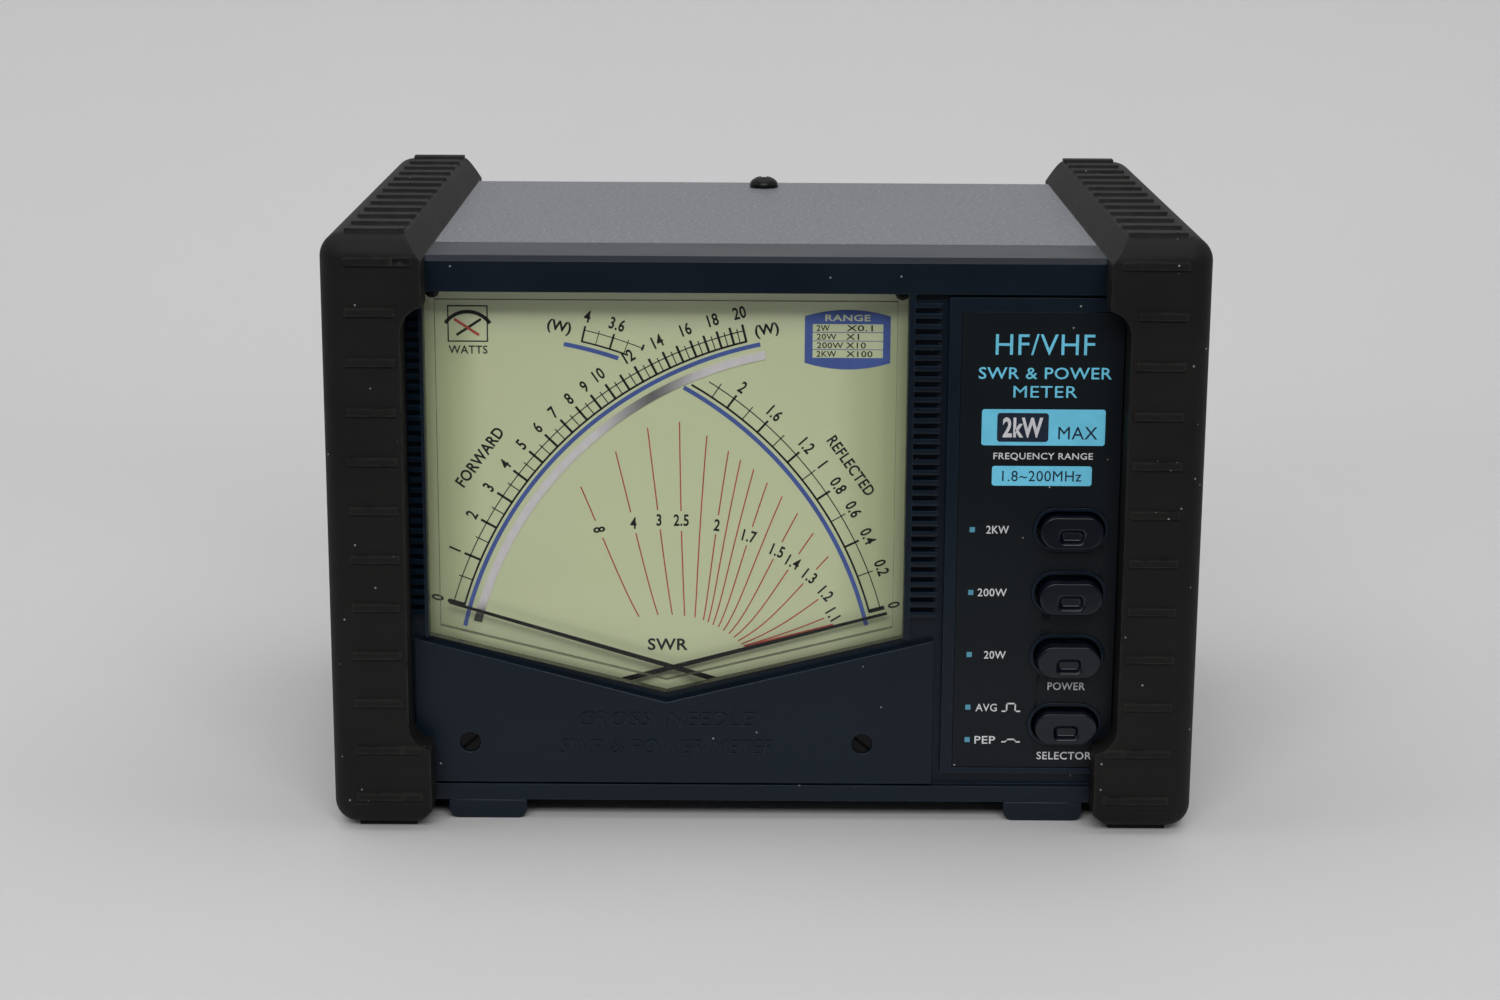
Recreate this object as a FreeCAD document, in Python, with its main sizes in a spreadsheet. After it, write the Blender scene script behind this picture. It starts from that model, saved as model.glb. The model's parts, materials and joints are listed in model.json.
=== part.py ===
import FreeCAD, Part
import os
import re
import Sketcher

# An SWR and power meter for an amateur radio bench: a steel case with a moulded front, a crossed
# needle meter with two moving-coil movements, four push buttons and a sensor box at the back.
# Millimetres, +Z up, the front faces -Y, the origin is under the middle of the whole meter.

V = FreeCAD.Vector

# Every size that the shapes are bound to: alias, value, what it is.
DIMS = [
    ("case_half", 77.5, "half the width of the steel case"),
    ("case_low", 3.8, "underside of the case above the bench"),
    ("case_top", 110.4, "top face of the cover"),
    ("front_face", -58.0, "front of the bezel"),
    ("seam", -40.6, "joint between the bezel and the cover"),
    ("rear_face", 52.0, "outside of the rear panel"),
    ("sheet", 1.2, "steel sheet"),
    ("slack", 0.2, "assembly gap between sheet parts"),
    ("bezel_wall", 2.5, "side walls of the bezel"),
    ("bezel_back", -54.6, "inner face of the bezel front plate"),
    ("pocket_floor", -56.2, "floor of the shallow pockets in the front"),
    ("pocket_low", 7.0, "bottom of the front pockets"),
    ("pocket_top", 103.6, "top of the front pockets and of the window"),
    ("pocket_half", 67.6, "side limit of the front pockets"),
    ("top_chamfer", 1.0, "chamfer along the top front edge"),
    ("window_left", -64.2, "left edge of the meter window"),
    ("window_right", 26.8, "right edge of the meter window"),
    ("window_low", 36.6, "lower side corners of the window"),
    ("meter_mid", -18.7, "middle line of the meter"),
    ("window_tip", 25.4, "lowest point of the window"),
    ("lens_gap", 0.05, "gap round the window lens"),
    ("lens_front", -56.9, "front of the lens"),
    ("lens_skin", 1.5, "thickness of the lens"),
    ("lens_rim", 1.9, "width of the thicker lens rim"),
    ("lens_back", -54.5, "back of the lens rim"),
    ("lens_lap", 0.35, "overlap of the lens flange behind the bezel"),
    ("lens_flange_thick", 0.8, "thickness of that flange"),
    ("rib_pitch", 2.0, "pitch of the ribs beside the window"),
    ("rib_tall", 1.0, "height of one rib"),
    ("rib_front", -57.9, "front of the ribs"),
    ("left_ribs_out", -67.4, "outer end of the left ribs"),
    ("left_ribs_in", -64.9, "inner end of the left ribs"),
    ("right_ribs_in", 28.0, "inner end of the right ribs"),
    ("right_ribs_out", 33.0, "outer end of the right ribs"),
    ("first_rib", 41.0, "bottom of the lowest rib"),
    ("fascia_left", -67.0, "left end of the lower fascia"),
    ("fascia_right", 32.75, "right end of the lower fascia"),
    ("fascia_low", 7.4, "bottom of the lower fascia"),
    ("fascia_side", 36.3, "upper corners of the lower fascia"),
    ("fascia_tip", 23.7, "notch of the lower fascia"),
    ("adjust_side", 37.9, "zero adjusters, from the meter middle"),
    ("adjust_z", 15.5, "height of the zero adjusters"),
    ("adjust_hole", 2.0, "radius of the adjuster holes"),
    ("adjust_head", 1.92, "radius of an adjuster head"),
    ("adjust_front", -57.6, "front of an adjuster head"),
    ("adjust_throw", 1.1, "eccentricity of the adjuster pin"),
    ("adjust_pin", 0.45, "radius of the adjuster pin"),
    ("panel_left", 34.4, "left edge of the control panel"),
    ("panel_right", 67.3, "right edge of the control panel"),
    ("panel_low", 9.7, "bottom of the control panel"),
    ("panel_top", 103.05, "top of the control panel"),
    ("inlay_left", 36.6, "left edge of the printed inlay"),
    ("inlay_low", 10.85, "bottom of the printed inlay"),
    ("inlay_top", 100.5, "top of the printed inlay"),
    ("inlay_floor", -57.6, "seat of the printed inlay"),
    ("inlay_front", -57.9, "front of the printed inlay"),
    ("rim_front", -58.1, "front of the raised rim round a button"),
    ("key_x", 58.3, "middle of the buttons"),
    ("key_top_z", 58.5, "height of the top range button"),
    ("key_pitch", 12.5, "pitch of the three range buttons"),
    ("selector_z", 19.7, "height of the selector button"),
    ("cap_wide", 12.0, "width of a button cap"),
    ("cap_tall", 6.2, "height of a button cap"),
    ("cap_front", -62.6, "front of a button that is out"),
    ("cap_deep", 9.6, "depth of a button cap"),
    ("latched", 1.5, "how far a latched button stands in"),
    ("well_gap", 0.55, "gap between a cap and its hole"),
    ("rim_wide", 0.65, "width of the raised rim"),
    ("dish_wide", 4.6, "width of the finger dish in a cap"),
    ("dish_deep", 0.5, "depth of the finger dish"),
    ("plunger", 4.0, "square plunger of a switch"),
    ("plunger_play", 0.4, "gap round a plunger in its channel"),
    ("socket_deep", 3.0, "depth of the socket in a cap"),
    ("plunger_end", -22.0, "inner end of a plunger that is out"),
    ("switch_back", -16.0, "back of the switches"),
    ("switch_half", 6.0, "half the width of a switch"),
    ("frame_front", -39.6, "front of the upright of the chassis"),
    ("dial_front", -49.5, "front of the dial"),
    ("dial_thick", 0.8, "thickness of the dial"),
    ("dial_side", 0.7, "dial edge beyond the window edge"),
    ("pivot_side", 33.1, "needle pivots, from the meter middle"),
    ("pivot_z", 19.6, "height of the needle pivots"),
    ("needle_long", 78.4, "needle length from the pivot"),
    ("needle_thick", 0.15, "needle thickness"),
    ("weight_reach", 7.5, "balance weight, from the pivot"),
    ("weight_round", 2.2, "radius of the balance weight"),
    ("weight_long", 3.11, "length of the balance weight, which balances the blade"),
    ("forward_plane", -52.05, "front of the forward needle"),
    ("reflected_plane", -51.25, "front of the reflected needle"),
    ("mirror_in", 71.4, "inner radius of the mirror band"),
    ("mirror_out", 73.0, "outer radius of the mirror band"),
    ("mirror_thick", 0.25, "thickness of the mirror band"),
    ("mirror_sweep", 64.2, "angle covered by the mirror band"),
    ("yoke_out", 9.2, "outer radius of a yoke ring"),
    ("yoke_in", 7.6, "inner radius of a yoke ring"),
    ("yoke_front", -44.6, "front of the yokes"),
    ("housing_back", -26.0, "back of the meter housing"),
    ("housing_wall", 1.8, "wall of the meter housing"),
    ("housing_left", -66.8, "left side of the meter housing"),
    ("housing_right", 29.2, "right side of the meter housing"),
    ("housing_low", 8.0, "underside of the meter housing"),
    ("housing_top", 105.8, "top of the meter housing"),
    ("core_round", 5.0, "radius of a core magnet"),
    ("core_back", -33.4, "back of a core magnet"),
    ("coil_half", 6.9, "half the width of a coil"),
    ("coil_wire", 1.3, "depth of the winding"),
    ("coil_thick", 2.4, "thickness of a coil"),
    ("coil_front", -46.9, "front of a coil"),
    ("coil_back", -31.1, "back of a coil"),
    ("staff_round", 0.5, "radius of a needle staff"),
    ("jewel_round", 1.2, "radius of a jewel screw"),
    ("jewel_hole", 0.55, "radius of the hole in a jewel"),
    ("bridge_front", -53.0, "front of a bridge"),
    ("bridge_thick", 0.5, "thickness of a bridge"),
    ("arm_front", -53.8, "front of a zero arm"),
    ("bumper_half", 82.5, "half the width over the bumpers"),
    ("bumper_front", -65.5, "front of a bumper without its bars"),
    ("bumper_rear", 57.5, "rear of a bumper without its bars"),
    ("bumper_low", 0.7, "underside of a bumper without its bars"),
    ("bumper_top", 115.3, "top of a bumper without its bars"),
    ("bumper_in", 63.5, "inner edge of the bumper corners"),
    ("bumper_crest", 66.6, "inner edge of the bumper top"),
    ("bumper_mid", 67.5, "inner edge of the bumper front"),
    ("block_low", 16.0, "top of the lower corner blocks"),
    ("block_top", 101.9, "underside of the upper corner blocks"),
    ("block_round", 5.0, "round beside the corner blocks"),
    ("bumper_round", 4.5, "round of the bumper edges"),
    ("bar_pitch", 9.4, "pitch of the bumper bars"),
    ("bar_in", 68.6, "inner end of the bumper bars"),
    ("bar_out", 77.6, "outer end of the bumper bars"),
    ("bar_thin", 1.4, "height of the front bars"),
    ("bar_wide", 3.0, "width of the top bars"),
    ("bar_first", -60.4, "middle of the first top bar"),
    ("bar_lowest", 6.9, "middle of the lowest front bar"),
    ("overall_front", -66.0, "front of the bumper bars"),
    ("overall_top", 116.0, "top of the bumper bars"),
    ("overall_rear", 58.0, "rear of the bumper bars"),
    ("hatch_front", -46.0, "front of the opening in a bumper side"),
    ("hatch_rear", 40.0, "rear of the opening in a bumper side"),
    ("hatch_low", 17.0, "bottom of the opening in a bumper side"),
    ("hatch_top", 99.0, "top of the opening in a bumper side"),
    ("foot_in_left", -45.8, "inner side of the left foot"),
    ("foot_out_left", -61.0, "outer side of the left foot"),
    ("foot_in_right", 46.9, "inner side of the right foot"),
    ("foot_out_right", 62.2, "outer side of the right foot"),
    ("foot_back", -44.0, "back of the feet"),
    ("foot_round", 2.0, "round of the feet corners"),
    ("foot_seat", 2.6, "seat of the foot screws"),
    ("small_shank", 1.5, "radius of an M3 shank"),
    ("small_head", 3.1, "radius of a case screw head"),
    ("head_tall", 2.4, "height of a case screw head"),
    ("pan_head", 2.75, "radius of an inner screw head"),
    ("pan_tall", 2.0, "height of an inner screw head"),
    ("shank_long", 5.0, "length of every screw under its head"),
    ("lid_screw_y", 44.2, "top screw of the cover"),
    ("side_screw_y", 30.0, "side screws, front and back"),
    ("side_screw_z", 22.0, "height of the side screws"),
    ("boss_x", 71.5, "bezel bosses, from the middle"),
    ("boss_low_z", 14.0, "lower bezel bosses"),
    ("boss_high_z", 99.0, "upper bezel bosses"),
    ("boss_round", 3.2, "radius of a bezel boss"),
    ("board_left", 64.3, "left face of the control board"),
    ("board_thick", 1.6, "thickness of the circuit boards"),
    ("jack_side", 22.0, "coaxial sockets, from the middle"),
    ("jack_z", 58.0, "height of the coaxial sockets"),
    ("flange_half", 12.7, "half the socket flange"),
    ("flange_thick", 1.6, "thickness of the socket flange"),
    ("thread_round", 7.94, "radius of the socket thread"),
    ("socket_end", 66.0, "outer end of the sockets"),
    ("socket_bore", 6.3, "radius inside the socket barrel"),
    ("panel_hole", 8.2, "radius of the rear panel holes"),
    ("boss_inner", 7.6, "radius of the socket body inside"),
    ("flange_screw", 9.07, "socket screws, from the socket axis"),
    ("insulator_round", 5.5, "radius of the socket insulators"),
    ("contact_out", 2.6, "outer radius of the centre contacts"),
    ("contact_in", 2.0, "bore of the centre contacts"),
    ("contact_back", 43.5, "inner end of the centre contacts"),
    ("line_y", 42.0, "the line between the sockets"),
    ("line_round", 1.5, "radius of the line"),
    ("sensor_half", 38.0, "half the width of the sensor box"),
    ("sensor_front", 20.0, "front of the sensor box"),
    ("sensor_low", 40.0, "bottom of the sensor box"),
    ("sensor_top", 76.0, "top of the sensor box"),
    ("sensor_sheet", 1.0, "sheet of the sensor box"),
    ("supply_x", 50.0, "supply socket across"),
    ("supply_z", 30.0, "supply socket height"),
    ("supply_round", 3.9, "radius of the supply socket"),
    ("supply_bore", 2.75, "bore of the supply socket"),
    ("supply_pin", 1.05, "radius of the supply pin"),
]

# Degrees from +X where each needle rests, seen from the front; the second is a mirror image.
NEEDLE_REST = {"+": 163.5, "-": 165.0}
STRAP_TURN = 43.5       # degrees from +X of the forward bridge, clear of the whole needle sweep
ARM_TURN = -40.5        # degrees from +X of the forward zero arm, towards its adjuster
MIRROR_START = 101.5    # degrees from +X where the mirror band starts

os.makedirs("parts", exist_ok=True)
doc = FreeCAD.newDocument("SwrMeter")
sheet = doc.addObject("Spreadsheet::Sheet", "Dims")
for row, (alias, value, note) in enumerate(DIMS, start=1):
    sheet.set("A%d" % row, alias)
    sheet.set("B%d" % row, str(value))
    sheet.set("C%d" % row, note)
    sheet.setAlias("B%d" % row, alias)
doc.recompute()

ALIASES = {alias for alias, value, note in DIMS}
subparts = []


def formula(text):
    """Put the sheet's name before every alias, so that the text can be bound to a property."""
    def named(match):
        word = match.group(0)
        return "Dims." + word if word in ALIASES else word
    return re.sub(r"[a-z][a-z_]*", named, str(text))


def bind(item, prop, text):
    item.setExpression(prop, formula(text))


def place(item, x, y, z):
    for axis, text in (("x", x), ("y", y), ("z", z)):
        bind(item, "Placement.Base." + axis, text)


def keep(node, item):
    """Name a finished sub-part after its file."""
    item.Label = node
    subparts.append((node, item))
    return item


def box(name, x, y, z):
    """A block between two formulas along each axis."""
    item = doc.addObject("Part::Box", name)
    for prop, span in (("Length", x), ("Width", y), ("Height", z)):
        bind(item, prop, "(%s) - (%s)" % (span[1], span[0]))
    place(item, x[0], y[0], z[0])
    return item


def rod(name, axis, centre, span, radius):
    """A cylinder along x, y or z; centre holds its two other coordinates in that order."""
    item = doc.addObject("Part::Cylinder", name)
    bind(item, "Radius", radius)
    bind(item, "Height", "(%s) - (%s)" % (span[1], span[0]))
    if axis == "x":
        item.Placement.Rotation = FreeCAD.Rotation(V(0, 1, 0), 90)
        place(item, span[0], centre[0], centre[1])
    elif axis == "y":
        item.Placement.Rotation = FreeCAD.Rotation(V(1, 0, 0), -90)
        place(item, centre[0], span[0], centre[1])
    else:
        place(item, centre[0], centre[1], span[0])
    return item


def fuse(name, items):
    item = doc.addObject("Part::MultiFuse", name)
    item.Shapes = items
    return item


def cut(name, base, tools):
    item = doc.addObject("Part::Cut", name)
    item.Base = base
    item.Tool = tools[0] if len(tools) == 1 else fuse(name + "_tools", tools)
    return item


def prism(name, points, span, facing="XZ_Plane", rounded=None, radius=None):
    """A sketched outline padded between two formulas; rounded picks edges to fillet."""
    body = doc.addObject("PartDesign::Body", name)
    outline = body.newObject("Sketcher::SketchObject", name + "_outline")
    plane = [item for item in body.Origin.OriginFeatures if item.Role == facing][0]
    outline.AttachmentSupport = [(plane, "")]
    outline.MapMode = "FlatFace"
    count = len(points)
    corners = [FreeCAD.Rotation(V(0, 0, 1), 360.0 * k / count).multVec(V(10, 0, 0))
               for k in range(count)]
    for k in range(count):
        outline.addGeometry(Part.LineSegment(corners[k], corners[(k + 1) % count]), False)
    for k in range(count):
        outline.addConstraint(Sketcher.Constraint("Coincident", k, 2, (k + 1) % count, 1))
    for k, (across, up) in enumerate(points):
        row = outline.addConstraint(Sketcher.Constraint("DistanceX", k, 1, corners[k].x))
        bind(outline, "Constraints[%d]" % row, across)
        row = outline.addConstraint(Sketcher.Constraint("DistanceY", k, 1, corners[k].y))
        bind(outline, "Constraints[%d]" % row, up)
    pad = body.newObject("PartDesign::Pad", name + "_pad")
    pad.Profile = outline
    bind(pad, "Length", "(%s) - (%s)" % (span[1], span[0]))
    if facing == "XZ_Plane":
        bind(body, "Placement.Base.y", span[1])
    else:
        bind(body, "Placement.Base.x", span[0])
    doc.recompute()
    body.Tip = pad
    if rounded:
        edges = ["Edge%d" % (k + 1) for k, edge in enumerate(pad.Shape.Edges) if rounded(edge)]
        fillet = body.newObject("PartDesign::Fillet", name + "_round")
        fillet.Base = (pad, edges)
        bind(fillet, "Radius", radius)
        doc.recompute()
        body.Tip = fillet
    return body


def stadium(name, x, z, wide, tall, y):
    """A round-ended block in front view, used for the caps and their holes."""
    half_flat = "((%s) - (%s)) / 2" % (wide, tall)
    middle = box(name + "_flat", ("(%s) - %s" % (x, half_flat), "(%s) + %s" % (x, half_flat)), y,
                 ("(%s) - (%s) / 2" % (z, tall), "(%s) + (%s) / 2" % (z, tall)))
    ends = [rod(name + "_end%d" % k, "y", ("(%s) %s %s" % (x, sign, half_flat), z), y,
                "(%s) / 2" % tall)
            for k, sign in enumerate("-+")]
    return fuse(name, [middle] + ends)


def turned(name, item, x, z, degrees):
    """Turn a shape built round the Y axis and put that axis at x, z; degrees rise from +X to +Z."""
    holder = doc.addObject("Part::Compound", name)
    holder.Links = [item]
    holder.Placement.Rotation = FreeCAD.Rotation(V(0, -1, 0), degrees)
    bind(holder, "Placement.Base.x", x)
    bind(holder, "Placement.Base.z", z)
    return holder


def screw_shape(name, axis, centre, seat, outward, head_height="pan_tall", head_radius="pan_head"):
    """A screw whose head stands on its seat towards + or -, with its shank the other way."""
    inward = "-" if outward == "+" else "+"
    head_span = [seat, "(%s) %s %s" % (seat, outward, head_height)]
    shank_span = ["(%s) %s shank_long" % (seat, inward), seat]
    if outward == "-":
        head_span.reverse()
        shank_span.reverse()
    head = rod(name + "_head", axis, centre, head_span, head_radius)
    shank = rod(name + "_shank", axis, centre, shank_span, "small_shank")
    return fuse(name, [head, shank])


# The case: cover, chassis and front bezel.

def top_cover():
    outer = box("cover_outer", ("-case_half", "case_half"), ("seam + slack", "rear_face"),
                ("case_low + 2 * slack", "case_top"))
    inner = box("cover_inner", ("sheet - case_half", "case_half - sheet"),
                ("seam", "rear_face + 1"), ("0", "case_top - sheet"))
    holes = [rod("cover_top_hole", "z", ("0", "lid_screw_y"), ("case_top - 5", "case_top + 1"),
                 "small_shank + slack")]
    for k, y in enumerate(("-side_screw_y", "side_screw_y")):
        holes.append(rod("cover_side_hole%d" % k, "x", (y, "side_screw_z"),
                         ("-case_half - 1", "case_half + 1"), "small_shank + slack"))
    keep("top_cover", cut("top_cover", outer, [inner] + holes))


def chassis():
    inside = "(case_half - sheet - slack)"
    low = "(case_low + 2 * slack)"
    floor = box("chassis_floor", ("-" + inside, inside), ("frame_front", "rear_face"),
                (low, low + " + sheet"))
    rear = box("chassis_rear", ("-" + inside, inside), ("rear_face - sheet", "rear_face"),
               (low, "case_top - sheet - slack"))
    tab = box("chassis_tab", ("-12", "12"), ("lid_screw_y - 5", "rear_face - sheet"),
              ("case_top - 2 * sheet - slack", "case_top - sheet - slack"))
    front = box("chassis_front", ("sheet - " + inside, inside + " - sheet"),
                ("frame_front", "frame_front + sheet"), (low, "case_top - sheet - 2"))
    pieces = [floor, rear, tab, front]
    for k, span in enumerate((("-" + inside, "sheet - " + inside),
                              (inside + " - sheet", inside))):
        pieces.append(box("chassis_flange%d" % k, span, ("frame_front", "rear_face - sheet"),
                          (low, "side_screw_z + 6")))
    holes = [
        box("meter_opening", ("housing_left - 0.6", "housing_right + 0.6"),
            ("frame_front - 1", "frame_front + sheet + 1"), ("housing_low - 0.6", "housing_top + 0.4")),
        rod("tab_hole", "z", ("0", "lid_screw_y"), ("case_top - 6", "case_top"), "small_shank"),
        rod("supply_hole", "y", ("supply_x", "supply_z"), ("rear_face - sheet - 1", "rear_face + 1"),
            "supply_round + 0.1"),
    ]
    for k, z in enumerate(key_heights()):
        holes.append(box("key_hole%d" % k, ("key_x - plunger / 2 - 0.6", "key_x + plunger / 2 + 0.6"),
                         ("frame_front - 1", "frame_front + sheet + 1"),
                         ("%s - plunger / 2 - 0.6" % z, "%s + plunger / 2 + 0.6" % z)))
    for k, y in enumerate(("-side_screw_y", "side_screw_y")):
        holes.append(rod("flange_hole%d" % k, "x", (y, "side_screw_z"),
                         ("-case_half", "case_half"), "small_shank"))
    for k, (x, z) in enumerate(boss_places()):
        holes.append(rod("boss_hole%d" % k, "y", (x, z), ("frame_front - 1", "frame_front + 3"),
                         "small_shank"))
    for k, (x, z) in enumerate(ear_places()):
        holes.append(rod("ear_hole%d" % k, "y", (x, z), ("frame_front - 1", "frame_front + 3"),
                         "small_shank"))
    holes += socket_holes("chassis", ("rear_face - sheet - 1", "rear_face + 1"))
    keep("chassis", cut("chassis", fuse("chassis_blank", pieces), holes))


def key_heights():
    return ["(key_top_z)", "(key_top_z - key_pitch)", "(key_top_z - 2 * key_pitch)", "(selector_z)"]


def boss_places():
    return [(x, z) for x in ("-boss_x", "boss_x") for z in ("boss_low_z", "boss_high_z")]


def ear_places():
    return [("housing_left - 2.9", "55"), ("housing_right + 2.9", "86")]


def socket_holes(name, y):
    """Barrel and screw holes of both coaxial sockets through a sheet."""
    holes = []
    for side, sign in enumerate("-+"):
        x = "(0 %s jack_side)" % sign
        holes.append(rod("%s_jack%d" % (name, side), "y", (x, "jack_z"), y, "panel_hole"))
        for k, (dx, dz) in enumerate(flange_corners()):
            holes.append(rod("%s_jack%d_%d" % (name, side, k), "y", (x + dx, "jack_z" + dz), y,
                             "small_shank"))
    return holes


def flange_corners():
    return [(" %s flange_screw" % a, " %s flange_screw" % b) for a in "-+" for b in "-+"]


def window_outline(shrink):
    """The window pentagon, drawn in by a formula on every side."""
    return [("window_left + (%s)" % shrink, "pocket_top - (%s)" % shrink),
            ("window_right - (%s)" % shrink, "pocket_top - (%s)" % shrink),
            ("window_right - (%s)" % shrink, "window_low + 0.784 * (%s)" % shrink),
            ("meter_mid", "window_tip + 1.03 * (%s)" % shrink),
            ("window_left + (%s)" % shrink, "window_low + 0.784 * (%s)" % shrink)]


def front_bezel():
    outer = box("bezel_outer", ("-case_half", "case_half"), ("front_face", "seam"),
                ("case_low", "case_top"))
    hollow = box("bezel_hollow", ("bezel_wall - case_half", "case_half - bezel_wall"),
                 ("bezel_back", "seam + 1"), ("case_low + bezel_wall", "case_top - bezel_wall"))
    bosses = [rod("bezel_boss%d" % k, "y", (x, z), ("bezel_back - 0.2", "frame_front"), "boss_round")
              for k, (x, z) in enumerate(boss_places())]
    blank = fuse("bezel_blank", [cut("bezel_shell", outer, [hollow])] + bosses)
    pocket = ("front_face - 1", "pocket_floor")
    tools = [
        prism("window_hole", window_outline("0"), ("front_face - 2", "bezel_back + 1")),
        box("left_rib_pocket", ("-pocket_half", "left_ribs_in"), pocket,
            ("fascia_side", "pocket_top")),
        box("right_rib_pocket", ("right_ribs_in", "pocket_half"), pocket,
            ("fascia_side", "pocket_top")),
        prism("fascia_pocket",
              [("-pocket_half", "pocket_low"), ("pocket_half", "pocket_low"),
               ("pocket_half", "window_low + 0.7"), ("window_right", "window_low"),
               ("meter_mid", "window_tip"), ("window_left", "window_low"),
               ("-pocket_half", "window_low + 0.7")], pocket),
        box("key_opening", ("key_x - 9", "pocket_half - 1"), ("front_face", "bezel_back + 1"),
            ("selector_z - 7", "key_top_z + 7")),
        prism("top_edge", [("front_face - 1", "case_top - top_chamfer - 1"),
                           ("front_face + top_chamfer + 1", "case_top + 1"),
                           ("front_face - 1", "case_top + 1")],
              ("-case_half - 1", "case_half + 1"), facing="YZ_Plane"),
    ]
    for k, sign in enumerate("-+"):
        tools.append(rod("bezel_adjust%d" % k, "y", ("meter_mid %s adjust_side" % sign, "adjust_z"),
                         ("front_face", "bezel_back + 1"), "adjust_hole"))
    for k, (x, z) in enumerate(boss_places()):
        tools.append(rod("bezel_boss_hole%d" % k, "y", (x, z), ("frame_front - 8", "frame_front + 1"),
                         "small_shank"))
    for k, x in enumerate(foot_middles()):
        tools.append(rod("bezel_foot_hole%d" % k, "z", (x, foot_screw_y()), ("0", "case_low + 4"),
                         "small_shank"))
    moulding = cut("bezel_moulding", blank, tools)
    ribs = []
    for k in range(31):
        z = ("first_rib + %d * rib_pitch" % k, "first_rib + %d * rib_pitch + rib_tall" % k)
        ribs.append(box("left_rib%02d" % k, ("left_ribs_out", "left_ribs_in"),
                        ("rib_front", "pocket_floor"), z))
        ribs.append(box("right_rib%02d" % k, ("right_ribs_in", "right_ribs_out"),
                        ("rib_front", "pocket_floor"), z))
    keep("front_bezel", fuse("front_bezel", [moulding] + ribs))


def lower_fascia():
    plate = prism("fascia_plate",
                  [("fascia_left", "fascia_low"), ("fascia_right", "fascia_low"),
                   ("fascia_right", "fascia_side"), ("meter_mid", "fascia_tip"),
                   ("fascia_left", "fascia_side")], ("front_face", "pocket_floor"))
    holes = [rod("fascia_adjust%d" % k, "y", ("meter_mid %s adjust_side" % sign, "adjust_z"),
                 ("front_face - 1", "pocket_floor + 1"), "adjust_hole")
             for k, sign in enumerate("-+")]
    keep("lower_fascia", cut("lower_fascia", plate, holes))


def control_panel():
    plate = box("panel_plate", ("panel_left", "panel_right"), ("front_face", "pocket_floor"),
                ("panel_low", "panel_top"))
    seat = box("panel_seat", ("inlay_left", "panel_right + 1"), ("front_face - 1", "inlay_floor"),
               ("inlay_low", "inlay_top"))
    rims = []
    holes = []
    hole_wide = "cap_wide + 2 * well_gap"
    hole_tall = "cap_tall + 2 * well_gap"
    for k, z in enumerate(key_heights()):
        rims.append(stadium("rim%d" % k, "key_x", z, hole_wide + " + 2 * rim_wide",
                            hole_tall + " + 2 * rim_wide", ("rim_front", "inlay_floor + 0.5")))
        holes.append(stadium("well%d" % k, "key_x", z, hole_wide, hole_tall,
                             ("front_face - 1", "pocket_floor + 1")))
    blank = fuse("panel_blank", [cut("panel_frame", plate, [seat])] + rims)
    keep("control_panel", cut("control_panel", blank, holes))


def panel_inlay():
    plate = box("inlay_plate", ("inlay_left + 0.1", "panel_right"), ("inlay_front", "inlay_floor"),
                ("inlay_low + 0.1", "inlay_top - 0.1"))
    grow = " + 2 * well_gap + 2 * rim_wide + 0.1"
    holes = [stadium("inlay_hole%d" % k, "key_x", z, "cap_wide" + grow, "cap_tall" + grow,
                     ("inlay_front - 1", "inlay_floor + 1"))
             for k, z in enumerate(key_heights())]
    keep("panel_inlay", cut("panel_inlay", plate, holes))


# Rubber bumpers, feet and screws.

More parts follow.
